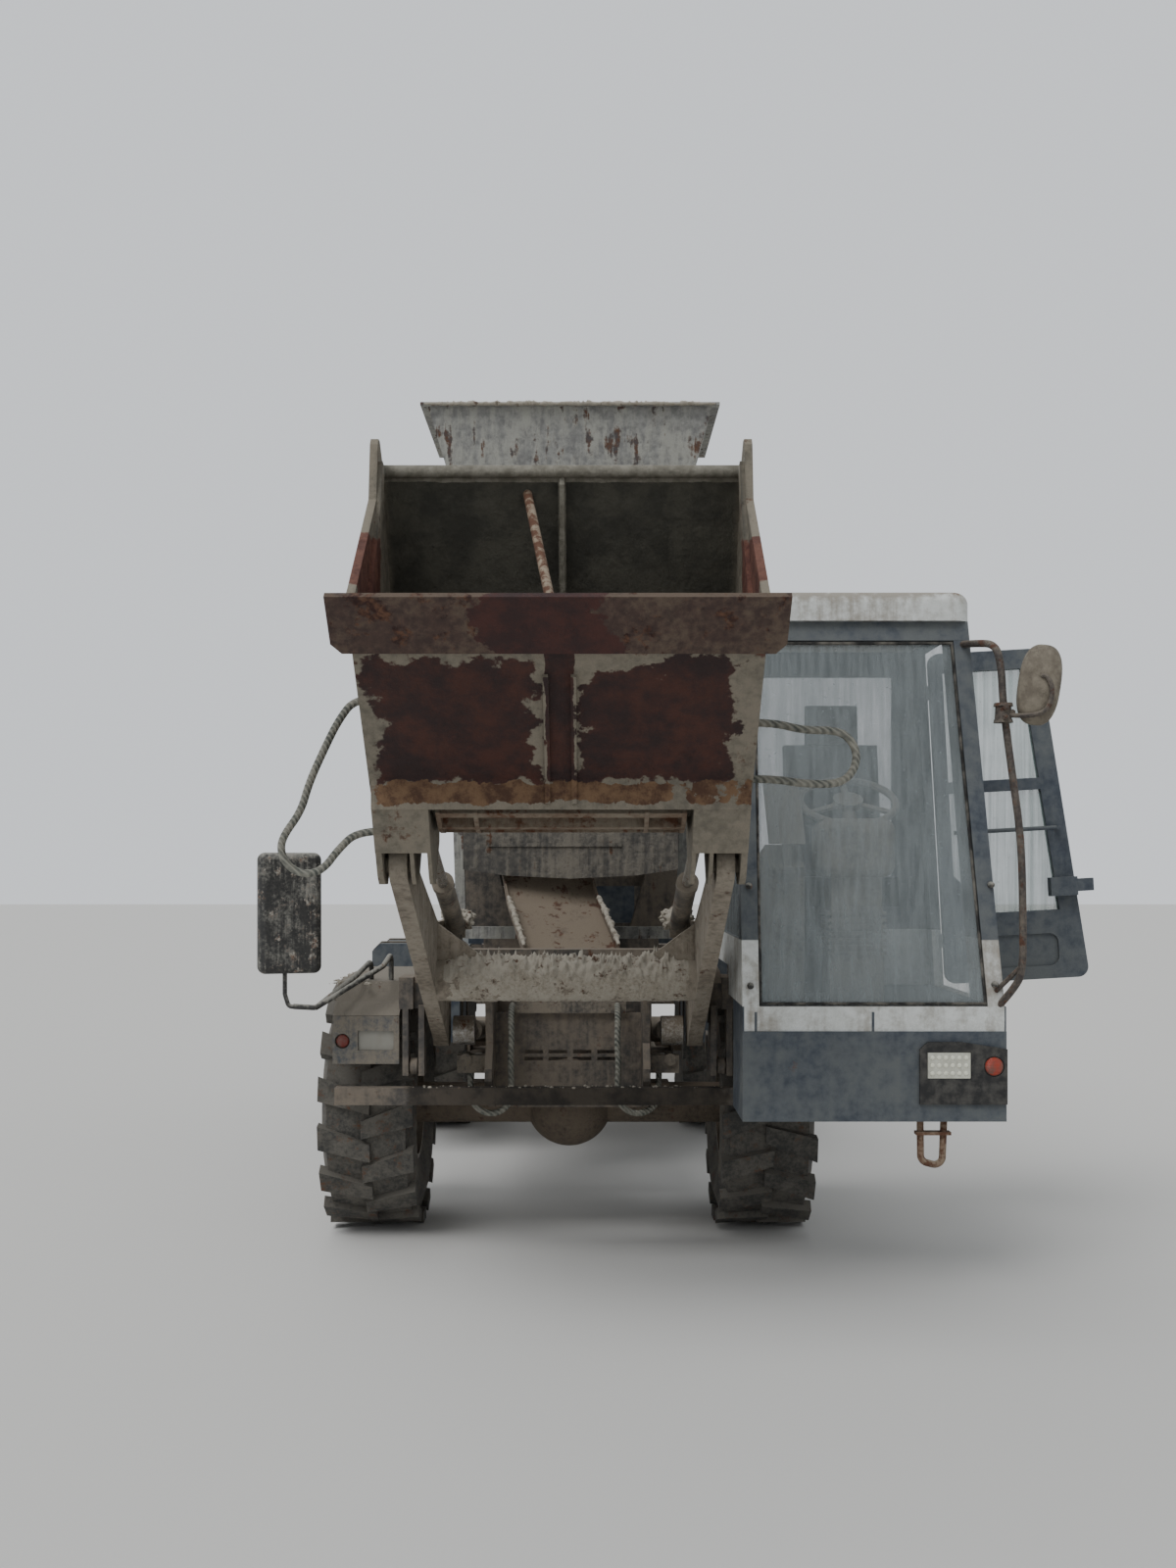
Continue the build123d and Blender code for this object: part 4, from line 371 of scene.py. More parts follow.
edge = put(ragged, "ShaderNodeMapRange", span, interpolation_type="SMOOTHSTEP")
ragged.links.new(edge.outputs["Result"], result.inputs["Mask"])


def patch(tree, centre, half, rag=0.8, fineness=9.0):
    """A ragged patch about a place, with its half sizes in millimetres."""
    node = put(tree, "ShaderNodeGroup", node_tree=ragged)
    node.inputs["Centre"].default_value = at(*centre)
    node.inputs["Half size"].default_value = [size / 1000 for size in half]
    node.inputs["Rag"].default_value = rag
    node.inputs["Fineness"].default_value = fineness
    return node.outputs["Mask"]


def overlaid(made, layers):
    """Lay more colours on a weathered material: (mask, colour, roughness) rows."""
    tree = made.node_tree
    shader = tree.nodes["Principled BSDF"]
    colour = shader.inputs["Base Color"].links[0].from_socket
    rough = shader.inputs["Roughness"].links[0].from_socket
    for mask, laid, dull in layers:
        colour = blended(tree, mask, colour, laid)
        span = {"Value": mask, "To Min": rough, "To Max": dull}
        rough = put(tree, "ShaderNodeMapRange", span).outputs["Result"]
    tree.links.new(colour, shader.inputs["Base Color"])
    tree.links.new(rough, shader.inputs["Roughness"])


def speckled(tree, dark, light, scale):
    """Two tones broken up by a noise."""
    place = put(tree, "ShaderNodeTexCoord").outputs["Object"]
    return blended(tree, covered(tree, grain(tree, place, scale, 8, 0.7), 0.5, 0.12), (*dark, 1), (*light, 1))


def looking(tree, mask, way, least):
    """A mask kept to the faces that look a given way."""
    normal = put(tree, "ShaderNodeNewGeometry").outputs["Normal"]
    side = put(tree, "ShaderNodeVectorMath", {0: normal, 1: way}, operation="DOT_PRODUCT").outputs["Value"]
    return figure(tree, "MULTIPLY", mask, figure(tree, "GREATER_THAN", side, least))


shovel_skin = weathered(
    "shovel_skin",
    paint=tone(98, 93, 82),
    faded=tone(122, 115, 102),
    dust=tone(134, 126, 112),
    dust_amount=0.5,
    rust=tone(74, 52, 40),
    rust_amount=0.2,
    drips=0.35,
    scale=3.6,
    gloss_roughness=0.75,
    bump=0.006,
)
tree = shovel_skin.node_tree
maroon = speckled(tree, tone(38, 18, 17), tone(68, 33, 23), 6)
rust_brown = speckled(tree, tone(76, 52, 38), tone(116, 90, 66), 16)
side_rust = speckled(tree, tone(78, 42, 34), tone(112, 72, 58), 20)
olive = speckled(tree, tone(62, 61, 55), tone(86, 84, 75), 5)
pale_mix = speckled(tree, tone(116, 112, 101), tone(142, 138, 127), 24)
INWARD = (0, -1, 0.4)
UNDER = (0, -0.7, -0.7)
shell_inside = patch(tree, (0, -2200, 2590), (592, 470, 330), 0.05)
top_roll = patch(tree, (0, -2030, 2880), (620, 100, 26), 0.5, 14)
middle_rib = patch(tree, (0, -2200, 2600), (13, 500, 290), 0.3, 30)
bare_right = patch(tree, (-318, -2300, 2036), (262, 400, 176), 1.1, 9)
bare_left = patch(tree, (300, -2300, 2035), (232, 400, 168), 1.9, 6)
bare_middle = patch(tree, (0, -2300, 2050), (44, 400, 190), 0.8, 12)
heel_band = patch(tree, (-20, -2080, 1836), (560, 180, 34), 2.6, 12)
layers = [
    (looking(tree, shell_inside, INWARD, 0.2), olive, 0.9),
    (top_roll, pale_mix, 0.9),
    (looking(tree, middle_rib, INWARD, 0.2), pale_mix, 0.9),
]
layers += [(looking(tree, bare, UNDER, 0.3), maroon, 0.7) for bare in (bare_right, bare_left, bare_middle)]
layers.append((heel_band, rust_brown, 0.85))
layers += [(patch(tree, (x, -2330, 2430), (70, 260, 190), 0.8, 7), side_rust, 0.8) for x in (560, -560)]
overlaid(shovel_skin, layers)
finish_node("bucket_body", shovel_skin)

gate_skin = weathered(
    "gate_skin",
    paint=tone(98, 80, 64),
    faded=tone(118, 102, 86),
    dust=tone(130, 121, 107),
    dust_amount=0.42,
    rust=tone(92, 58, 38),
    rust_amount=0.36,
    drips=0.2,
    scale=5.0,
    gloss_roughness=0.8,
    bump=0.005,
)
finish_node("bucket_gate", gate_skin)

edge_skin = weathered(
    "cutting_edge_skin",
    paint=tone(56, 40, 35),
    faded=tone(74, 54, 46),
    dust=tone(98, 84, 72),
    dust_amount=0.4,
    rust=tone(46, 24, 21),
    rust_amount=0.34,
    drips=0.35,
    scale=4.5,
    gloss_roughness=0.72,
    bump=0.003,
)
tree = edge_skin.node_tree
worn_middle = patch(tree, (-40, -2640, 2330), (190, 300, 120), 2.2, 7)
bright_lip = patch(tree, (0, -2780, 2470), (670, 60, 22), 1.2, 10)
dark_rust = speckled(tree, tone(44, 20, 19), tone(66, 30, 24), 9)
lip_rust = speckled(tree, tone(92, 56, 42), tone(120, 88, 70), 30)
overlaid(edge_skin, [(worn_middle, dark_rust, 0.7), (bright_lip, lip_rust, 0.8)])
finish_node("cutting_edge", edge_skin)


# Nose beam and rusty rods: the front frame has a painted shadow, a dark band along
#  its lower edge, and the shovel's tie rod, the cab's step and the exhaust pipe are rusty steel.
nose_painted_shadow = chassis_paint.copy()
nose_painted_shadow.name = "nose_painted_shadow"
tree = nose_painted_shadow.node_tree
# The dark speckled band laid along the beam's lower edge is painted shadow, where the nose lies in shade.
low_painted_shadow = speckled(tree, tone(44, 40, 36), tone(70, 63, 55), 7)
overlaid(nose_painted_shadow, [(patch(tree, (0, -610, 640), (680, 80, 70), 0.4, 6), low_painted_shadow, 0.9)])
finish_node("front_chassis", nose_painted_shadow)

rod_rust = weathered(
    "rusty_rod",
    paint=tone(112, 84, 66),
    faded=tone(134, 112, 92),
    dust=tone(150, 136, 118),
    dust_amount=0.35,
    rust=tone(90, 58, 42),
    rust_amount=0.5,
    drips=0.1,
    scale=9.0,
    gloss_roughness=0.8,
    bump=0.003,
)
finish_node("tie_rod", rod_rust)
finish_node("cab_step", rod_rust)
finish_node("exhaust_pipe", rod_rust)


# Cylinders and valves: dark painted barrels under cement dust, and chromed rods
# that have grown dull and dusty.
barrel_paint = weathered(
    "barrel_paint",
    paint=tone(56, 54, 52),
    faded=tone(80, 76, 72),
    dust=tone(134, 125, 112),
    dust_amount=0.55,
    rust=tone(80, 50, 36),
    rust_amount=0.25,
    drips=0.2,
    scale=7.0,
    gloss_roughness=0.5,
    bump=0.004,
)
rod_chrome = weathered(
    "dusty_chrome",
    metallic=0.7,
    paint=tone(170, 168, 164),
    faded=tone(150, 146, 140),
    dust=tone(140, 130, 116),
    dust_amount=0.42,
    rust=tone(112, 78, 54),
    rust_amount=0.25,
    drips=0.1,
    scale=12.0,
    gloss_roughness=0.25,
    bump=0.001,
)
for name in ("lift_barrels", "tilt_barrels", "gate_barrels", "valve_blocks"):
    finish_node(name, barrel_paint)
for name in ("lift_rods", "tilt_rods", "gate_rods"):
    finish_node(name, rod_chrome)
for side in ("left", "right"):
    finish_node("steer_barrel_" + side, barrel_paint)
    finish_node("steer_rod_" + side, rod_chrome)


# Cab: navy posts, door and floor under a white roof, and white again at the foot of
# the posts, all streaked with grey dirt. The tanks, hood and rear fenders are the
# same navy, and the right fender has more mud on it.
cab_white = weathered(
    "cab_white",
    paint=tone(218, 220, 218),
    faded=tone(200, 202, 198),
    dust=tone(158, 152, 142),
    dust_amount=0.34,
    rust=tone(120, 84, 60),
    rust_amount=0.08,
    drips=0.5,
    scale=3.0,
    gloss_roughness=0.4,
    bump=0.0015,
)
navy = weathered(
    "dusty_navy",
    paint=tone(54, 62, 73),
    faded=tone(70, 78, 89),
    dust=tone(102, 106, 107),
    dust_amount=0.48,
    rust=tone(84, 60, 48),
    rust_amount=0.06,
    drips=0.16,
    scale=2.4,
    gloss_roughness=0.45,
    bump=0.0015,
)
fender_mud = weathered(
    "fender_mud",
    paint=tone(70, 74, 80),
    faded=tone(98, 98, 94),
    dust=tone(128, 121, 110),
    dust_amount=0.58,
    rust=tone(84, 62, 48),
    rust_amount=0.14,
    drips=0.3,
    scale=6.0,
    gloss_roughness=0.7,
    bump=0.006,
)
posts = navy.copy()
posts.name = "cab_posts"
tree = posts.node_tree
shader = tree.nodes["Principled BSDF"]
WHITE_UP_TO = 1.33
place = put(tree, "ShaderNodeTexCoord").outputs["Object"]
height = put(tree, "ShaderNodeSeparateXYZ", {0: place}).outputs["Z"]
span = {"Value": height, "From Min": WHITE_UP_TO, "From Max": WHITE_UP_TO - 0.005}
low = put(tree, "ShaderNodeMapRange", span).outputs["Result"]
coat = put(tree, "ShaderNodeGroup", node_tree=weather)
for socket in cab_white.node_tree.nodes["Group"].inputs:
    coat.inputs[socket.name].default_value = socket.default_value
upper = shader.inputs["Base Color"].links[0].from_socket
tree.links.new(blended(tree, low, upper, coat.outputs["Color"]), shader.inputs["Base Color"])
finish_node("cab_frame", posts)
finish_node("cab_roof", cab_white)
for name in ("cab_floor", "cab_door", "engine_cover", "engine_hood", "rear_fenders", "side_tanks"):
    finish_node(name, navy)
finish_node("right_fender", fender_mud)


# Drum: a painted shell, pale and streaked by the mix that has run down it, with
# rust where the paint is chipped.
drum_skin = weathered(
    "drum_skin",
    paint=tone(186, 184, 176),
    faded=tone(164, 160, 150),
    dust=tone(150, 143, 131),
    dust_amount=0.42,
    rust=tone(112, 82, 62),
    rust_amount=0.2,
    drips=0.5,
    scale=2.2,
    gloss_roughness=0.55,
    bump=0.006,
)
finish_node("drum", drum_skin)


# Tyres and rims: block-treaded rubber grey with quarry dust, on painted steel rims
# that are dusty too and rusty in places.
rubber = weathered(
    "dusty_rubber",
    paint=tone(52, 52, 51),
    faded=tone(66, 65, 62),
    dust=tone(104, 100, 93),
    dust_amount=0.5,
    rust=tone(88, 82, 74),
    rust_amount=0.3,
    drips=0.05,
    scale=7.0,
    gloss_roughness=0.8,
    bump=0.003,
)
rim_paint = weathered(
    "rim_paint",
    paint=tone(150, 146, 136),
    faded=tone(128, 124, 114),
    dust=tone(120, 110, 98),
    dust_amount=0.5,
    rust=tone(88, 58, 42),
    rust_amount=0.3,
    drips=0.1,
    scale=8.0,
    gloss_roughness=0.6,
    bump=0.003,
)
WHEELS = (("front_left", 1, 0), ("front_right", -1, 0), ("rear_left", 1, 2750), ("rear_right", -1, 2750))
for name, side, along in WHEELS:
    finish_node("tyre_" + name, rubber)
    finish_node("rim_" + name, rim_paint)


# Glass: flat panes with a film of dried dirt that has run down in streaks and lies
# thicker at their foot. The door's glass is a little greener.
def dirty_glass(name, tint, film_amount, film_tone):
    """A clear pane with its film of dirt."""
    made, tree, shader = material_of(name)
    shader.inputs["IOR"].default_value = 1.45
    shader.inputs["Base Color"].default_value = (*tint, 1)
    place = put(tree, "ShaderNodeTexCoord").outputs["Object"]
    tall = put(tree, "ShaderNodeVectorMath", {0: place, 1: (30, 30, 0.8)}, operation="MULTIPLY").outputs[0]
    streak = grain(tree, tall, 1.5, 6, 0.65)
    haze = grain(tree, place, 2.2, 6, 0.6)
    spots = grain(tree, place, 60, 3, 0.5)
    film = figure(tree, "MULTIPLY_ADD", streak, 0.62, figure(tree, "MULTIPLY", haze, 0.38))
    span = {
        "Value": film,
        "From Min": 0.42,
        "From Max": 0.6,
        "To Min": film_amount * 0.35,
        "To Max": film_amount,
    }
    film = put(tree, "ShaderNodeMapRange", span).outputs["Result"]
    height = put(tree, "ShaderNodeSeparateXYZ", {0: place}).outputs["Z"]
    span = {"Value": height, "From Min": 1.5, "From Max": 1.08, "To Max": 0.3}
    foot = put(tree, "ShaderNodeMapRange", span).outputs["Result"]
    film = figure(tree, "ADD", film, figure(tree, "MULTIPLY", foot, haze))
    film = figure(tree, "MAXIMUM", film, figure(tree, "MULTIPLY", covered(tree, spots, 0.12, 0.03), 0.45))
    tree.links.new(blended(tree, film, (*tint, 1), (*film_tone, 1)), shader.inputs["Base Color"])
    solid = figure(tree, "MULTIPLY_ADD", film, 0.84, 0.14)
    tree.links.new(solid, shader.inputs["Alpha"])
    tree.links.new(figure(tree, "MULTIPLY_ADD", film, 0.6, 0.06), shader.inputs["Roughness"])
    return made


screen = dirty_glass("cab_glass", tone(150, 158, 160), 0.4, tone(150, 158, 160))
door_screen = dirty_glass("door_glass_tint", tone(128, 150, 146), 0.46, tone(146, 164, 160))
finish_node("cab_windows", screen)
finish_node("door_glass", door_screen)


# Small mouldings: pale dusty consoles, a dark seat, and black mirror shells that
# are splashed with cement outside. The cab mirror's shell is browner.
console_plastic = weathered(
    "console_plastic",
    paint=tone(96, 96, 92),
    faded=tone(122, 120, 114),
    dust=tone(158, 154, 145),
    dust_amount=0.6,
    rust=tone(90, 86, 80),
    rust_amount=0.1,
    drips=0.1,
    scale=8.0,
    gloss_roughness=0.6,
    bump=0.001,
)
seat_cloth = weathered(
    "seat_cloth",
    paint=tone(34, 34, 36),
    faded=tone(48, 48, 50),
    dust=tone(96, 92, 86),
    dust_amount=0.3,
    rust=tone(60, 56, 52),
    rust_amount=0.1,
    drips=0.1,
    scale=7.0,
    gloss_roughness=0.9,
    bump=0.001,
)
splashed_plastic = weathered(
    "splashed_plastic",
    paint=tone(40, 40, 40),
    faded=tone(58, 57, 55),
    dust=tone(150, 148, 140),
    dust_amount=0.3,
    rust=tone(168, 165, 156),
    rust_amount=0.3,
    drips=0.3,
    scale=9.0,
    gloss_roughness=0.55,
    bump=0.003,
)
for name in ("steering_console", "side_console"):
    finish_node(name, console_plastic)
finish_node("operator_seat", seat_cloth)
finish_node("fender_mirror", splashed_plastic)
mirror_skin = splashed_plastic.copy()
mirror_skin.name = "cab_mirror_skin"
tree = mirror_skin.node_tree
shell = speckled(tree, tone(104, 96, 84), tone(134, 126, 112), 12)
overlaid(mirror_skin, [(patch(tree, (1730, -1374, 2262), (100, 70, 170), 0.0), shell, 0.8)])


# Hoses: black rubber in a grey spiral guard, dusty all over. Each follows the
# same corners as its CAD hose, as a smooth curve, and takes its place.
hose_guard, tree, shader = material_of("hose_guard")
place = put(tree, "ShaderNodeTexCoord").outputs["Object"]
spiral = {"Vector": place, "Scale": 26, "Distortion": 1.5, "Detail": 2}
bands = put(tree, "ShaderNodeTexWave", spiral, bands_direction="DIAGONAL").outputs[1]
dust = covered(tree, grain(tree, place, 24, 5, 0.6), 0.5, 0.15)
base = blended(tree, bands, (*tone(70, 74, 70), 1), (*tone(134, 134, 125), 1))
dusty = blended(tree, figure(tree, "MULTIPLY", dust, 0.75), base, (*tone(146, 143, 132), 1))
tree.links.new(dusty, shader.inputs["Base Color"])
shader.inputs["Roughness"].default_value = 0.85
bumped(tree, shader, bands, 0.004)


def arc_corners(centre, radius, first, step, count):
    """Corners of a polygon about an arc: the first angle, the step and how many."""
    reach = radius / math.cos(math.radians(step / 2))
    turns = [math.radians(first + index * step) for index in range(count)]
    return [(centre[0] + reach * math.cos(turn), centre[1] + reach * math.sin(turn)) for turn in turns]


def smooth_tube(name, route, radius, rounding, steps, made):
    """A round tube bent smoothly along its corners, its radius in metres."""
    curve = bpy.data.curves.new(name, "CURVE")
    curve.dimensions = "3D"
    line = curve.splines.new("NURBS")
    line.points.add(len(route) - 1)
    for point, corner in zip(line.points, route):
        point.co = (*at(*corner), 1)
    line.order_u = 3
    line.use_endpoint_u = True
    curve.bevel_depth = radius
    curve.bevel_resolution = rounding
    curve.resolution_u = steps
    curve.use_fill_caps = True
    curve.materials.append(made)
    tube = bpy.data.objects.new(name, curve)
    bpy.context.scene.collection.objects.link(tube)
    return tube


def front_hose_route(inner_x, outer_x):
    """From the valve's face forward, down, round under the rail and up."""
    side = 1 if outer_x > 0 else -1
    route = [(inner_x, -332.3, 1004)]
    route += [(inner_x, y, z) for y, z in arc_corners((-366, 916), 88, 105, 30, 3)]
    route += [(inner_x - side * 3, -456, 858), (inner_x + side * 3, -454, 770), (inner_x - side, -450, 690)]
    turn = arc_corners(((abs(inner_x) + abs(outer_x)) / 2, 640), 88, 198, 36, 5)
    route += [(side * x, y, z) for (x, z), y in zip(turn, (-446, -438, -426, -415, -405))]
    return route + [(outer_x, -405, 724.7)]


right_turn = arc_corners((-850, 1668), 88, 162, 36, 5)
right_route = [(-606.3, -1850, 2168), (-694, -1850, 2168), (-750, -1856, 2095)]
right_route += [(-800, -1864, 1990), (-848, -1869, 1880), (-873, -1874, 1786)]
right_route += [(x, y, z) for (x, z), y in zip(right_turn, (-1878, -1881, -1884, -1886, -1888))]
right_route += [(-746, -1889, 1660), (-684, -1882, 1720), (-600.3, -1882, 1720)]
left_turn = arc_corners((868, 1958), 88, 72, -36, 5)
left_route = [(606.3, -1992, 2072), (692, -1992, 2072), (786, -2004, 2046)]
left_route += [(x, y, z) for (x, z), y in zip(left_turn, (-2010, -2014, -2017, -2020, -2022))]
left_route += [(786, -2022, 1870.5), (690, -2014, 1887), (606.3, -2014, 1887)]
HOSE_DIAMETER = 0.026
HOSES = (
    # node, body, route, length in metres, lay
    ("front_hose_right", "front_frame", front_hose_route(-242, -418), 0.81, "hanging"),
    ("front_hose_left", "front_frame", front_hose_route(212, 388), 0.81, "hanging"),
    ("bucket_hose_right", "bucket", right_route, 1.08, "loose"),
    ("bucket_hose_left", "bucket", left_route, 0.80, "loose"),
)
for name, body, route, length, lay in HOSES:
    hose = smooth_tube(name + "_line", route, HOSE_DIAMETER / 2, 5, 12, hose_guard)
    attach(hose, body)
    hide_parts(name)


# Lamps: a black bezel in the cab's apron with a clear LED head lamp and a red
# marker, a dull lamp and a red marker in the fender, and red and clear rear lamps.
lamp_faces, tree, shader = material_of("lamp_faces")
shader.inputs["Roughness"].default_value = 0.35
clear_lens = patch(tree, (1424, -1290, 865), (82, 40, 50), 0, 5)
fender_lens = patch(tree, (-794, -600, 882), (76, 40, 42), 0, 5)
grime = covered(tree, grain(tree, put(tree, "ShaderNodeTexCoord").outputs["Object"], 20, 6, 0.65), 0.45, 0.15)
colour = blended(tree, grime, (*tone(26, 26, 27), 1), (*tone(74, 72, 68), 1))
for mask, clean in ((clear_lens, tone(206, 206, 192)), (fender_lens, tone(136, 134, 126))):
    lens_tone = blended(tree, figure(tree, "MULTIPLY", grime, 0.35), (*clean, 1), (*tone(120, 114, 104), 1))
    colour = blended(tree, mask, colour, lens_tone)
tree.links.new(colour, shader.inputs["Base Color"])
finish_node("front_lamps", lamp_faces)

rear_faces, tree, shader = material_of("rear_lamp_faces")
shader.inputs["Roughness"].default_value = 0.4
grime = covered(tree, grain(tree, put(tree, "ShaderNodeTexCoord").outputs["Object"], 18, 6, 0.65), 0.5, 0.15)
colour = blended(tree, grime, (*tone(30, 30, 31), 1), (*tone(92, 88, 80), 1))
half_grime = figure(tree, "MULTIPLY", grime, 0.5)
red = blended(tree, half_grime, (*tone(140, 30, 24), 1), (*tone(112, 86, 76), 1))
clear = blended(tree, half_grime, (*tone(176, 172, 160), 1), (*tone(120, 114, 104), 1))
for side in (1, -1):
    colour = blended(tree, patch(tree, (side * 655, 4080, 925), (46, 10, 38), 0, 5), colour, red)
    colour = blended(tree, patch(tree, (side * 623, 4080, 925), (14, 11, 39), 0, 5), colour, clear)
tree.links.new(colour, shader.inputs["Base Color"])
finish_node("rear_lamps", rear_faces)


def new_piece(name, shape, made, body, smooth=True):
    """Turn a bmesh into a piece that rides on a body."""
    mesh = bpy.data.meshes.new(name)
    bmesh.ops.recalc_face_normals(shape, faces=shape.faces)
    shape.to_mesh(mesh)
    shape.free()
    mesh.materials.append(made)
    for face in mesh.polygons:
        face.use_smooth = smooth
    piece = bpy.data.objects.new(name, mesh)
    bpy.context.scene.collection.objects.link(piece)
    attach(piece, body)
    return piece


def turned_to(place, direction):
    """The matrix that sets a shape's own Z along a direction, at a place."""
    turn = Vector((0, 0, 1)).rotation_difference(Vector(direction))
    return Matrix.Translation(place) @ turn.to_matrix().to_4x4()


def dome_on(shape, place, radius, flat, sides):
    """A flattened ball that bulges forward: its radius in metres, and how flat it is."""
    spot = turned_to(place, (0, -1, 0)) @ Matrix.Diagonal((1, 1, flat, 1))
    bmesh.ops.create_uvsphere(shape, u_segments=sides, v_segments=sides // 2, radius=radius, matrix=spot)


def peg(shape, spot, lift, radius, taper, depth, sides):
    """A tapered peg along a spot's own Z, its centre lifted off the spot, in metres."""
    bmesh.ops.create_cone(
        shape,
        cap_ends=True,
        segments=sides,
        radius1=radius,
        radius2=radius * taper,
        depth=depth,
        matrix=spot @ Matrix.Translation((0, 0, lift)),
    )


led_dome, tree, shader = material_of("led_dome")
shader.inputs["Base Color"].default_value = (*tone(232, 232, 214), 1)
place = put(tree, "ShaderNodeTexCoord").outputs["Object"]
rough = figure(tree, "MULTIPLY_ADD", grain(tree, place, 40, 3, 0.5), 0.3, 0.05)
tree.links.new(rough, shader.inputs["Roughness"])
domes = bmesh.new()
for column in range(6):
    for row in range(3):
        dome_on(domes, at(1362 + column * 25, -1298, 836 + row * 29), 0.009, 0.5, 12)
new_piece("head_lamp_leds", domes, led_dome, "front_frame")

MARKERS = (
    # name, centre, radius in millimetres, colour
    ("cab_marker", (1590, -1300, 862), 34, (164, 60, 42)),
    ("fender_marker", (-932, -610, 880), 28, (112, 42, 34)),
)
for name, centre, radius, colour in MARKERS:
    red, tree, shader = material_of(name + "_red")
    shader.inputs["Roughness"].default_value = 0.3
    place = put(tree, "ShaderNodeTexCoord").outputs["Object"]
    rings = {"Vector": place, "Scale": 60, "Distortion": 0.5}
    ripple = put(tree, "ShaderNodeTexWave", rings, bands_direction="Z").outputs[1]
    grime = covered(tree, grain(tree, place, 30, 6, 0.65), 0.35, 0.2)
    grimy = blended(tree, grime, (*tone(*colour), 1), (*tone(96, 84, 74), 1))
    tree.links.new(grimy, shader.inputs["Base Color"])
    bumped(tree, shader, ripple, 0.001)
    dome = bmesh.new()
    dome_on(dome, at(*centre), radius / 1000, 0.35, 32)
    new_piece(name, dome, red, "front_frame")


# Wheel nuts: a ring of ten hexagon nuts round each rim's disc and a ring of eight
# smaller ones round its hub, each with the end of its stud.
def hex_heads(shape, places, direction, radius, height):
    """Hexagon heads on a face, each with the end of its stud."""
    for spot in places:
        base = turned_to(spot, direction)
        peg(shape, base, height / 2, radius, 0.94, height, 6)
        peg(shape, base, height + radius * 0.2, radius * 0.5, 0.84, radius * 0.4, 10)


AXLE_HEIGHT = 537
WHEEL_MIDDLE = 852
for name, side, along in WHEELS:
    nuts = bmesh.new()
    for count, ring, out, size in ((10, 190, 53, 17), (8, 112, 117, 10)):
        turns = [2 * math.pi * number / count for number in range(count)]
        circle = [(along + ring * math.cos(turn), AXLE_HEIGHT + ring * math.sin(turn)) for turn in turns]
        spots = [at(side * (WHEEL_MIDDLE + out), y, z) for y, z in circle]
        hex_heads(nuts, spots, (side, 0, 0), size / 1000, 0.016)
    new_piece("wheel_nuts_" + name, nuts, barrel_paint, "wheel_" + name, smooth=False)


# Dried mix: it stands in thick rough crusts on the cross tube, the chute's rails
# and the hopper's rim, in lumps round the tilt cylinders' feet, and in crumbs on
# every ledge. It is pale grey, rough and sharp.
raw_cement = weathered(
    "raw_cement",
    paint=tone(134, 126, 112),
    faded=tone(160, 152, 138),
    dust=tone(172, 165, 152),
    dust_amount=0.5,
    rust=tone(92, 80, 68),
    rust_amount=0.3,
    drips=0.05,
    scale=9.0,
    gloss_roughness=0.9,
    bump=0.006,
)


def band(shape, here_row, next_row):
    """A closed band of faces between two rings of corners."""
    for step in range(len(here_row)):
        shape.faces.new((here_row[step - 1], here_row[step], next_row[step], next_row[step - 1]))


def crust(shape, start, end, radius, thick, rings, sides, seed, lowest=0.12):
    """A rough closed skin round a bar, thickest on top, in metres."""
    run = end - start
    across = run.normalized().cross(Vector((0, 0, 1))).normalized()
    over = across.cross(run.normalized())
    rows = []
    for ring in range(rings + 1):
        share = ring / rings
        taper = min(1, share * 12, (1 - share) * 12)
        row = []
        for side in range(sides):
            turn = 2 * math.pi * side / sides
            way = across * math.cos(turn) + over * math.sin(turn)
            spot = start + run * share + way * radius
            cover = lowest + (1 - lowest) * max(0, way.z) ** 0.7
            rough = 0.45 + 0.9 * noise.noise(spot * 38 + Vector((seed, 0, 0)))
            spike = max(0, noise.noise(spot * 95 + Vector((0, seed, 0)))) ** 1.6 * 1.9
            row.append(shape.verts.new(spot + way * thick * taper * cover * max(0.05, rough + spike)))
        rows.append(row)
    for here_row, next_row in zip(rows, rows[1:]):
        band(shape, here_row, next_row)
    for row in (rows[0], rows[-1]):
        shape.faces.new(row)


def lump(shape, centre, size, seed):
    """One irregular lump: its centre and half sizes in metres."""
    made = bmesh.ops.create_icosphere(shape, subdivisions=4, radius=1)
    for corner in made["verts"]:
        way = corner.co.normalized()
        swell = 1 + 0.5 * noise.fractal(way * 2.4 + Vector((seed, 0, 0)), 0.8, 2.1, 5)
        corner.co = centre + Vector(part * reach for part, reach in zip(way * swell, size))


tube_crust = bmesh.new()
crust(tube_crust, at(-480, -940, 1155), at(480, -940, 1155), 0.0795, 0.03, 260, 54, 1)
new_piece("cross_tube_crust", tube_crust, raw_cement, "boom")

FOOT_LUMPS = (
    # centre of the left one, half width
    (455, -652, 1388, 52),
    (429, -696, 1376, 40),
    (479, -620, 1404, 38),
    (421, -614, 1396, 34),
)
foot_lumps = bmesh.new()
for side in (1, -1):
    for number, (x, y, z, reach) in enumerate(FOOT_LUMPS):
        size = (reach / 1000, reach / 1000, reach / 1300)
        lump(foot_lumps, at(side * x, y, z), size, number + side * 3)
new_piece("tilt_foot_lumps", foot_lumps, raw_cement, "tilt_barrels")


CHUTE_POST = (-130, 690)
CHUTE_SLEW = math.radians(13)


def chute_place(x, y, z):
    """A place on the chute, which stands slewed about its post."""
    along, across = math.cos(CHUTE_SLEW), math.sin(CHUTE_SLEW)
    reach_x, reach_y = x - CHUTE_POST[0], y - CHUTE_POST[1]
    slewed_x = CHUTE_POST[0] + reach_x * along - reach_y * across
    slewed_y = CHUTE_POST[1] + reach_x * across + reach_y * along
    return at(slewed_x, slewed_y, z)


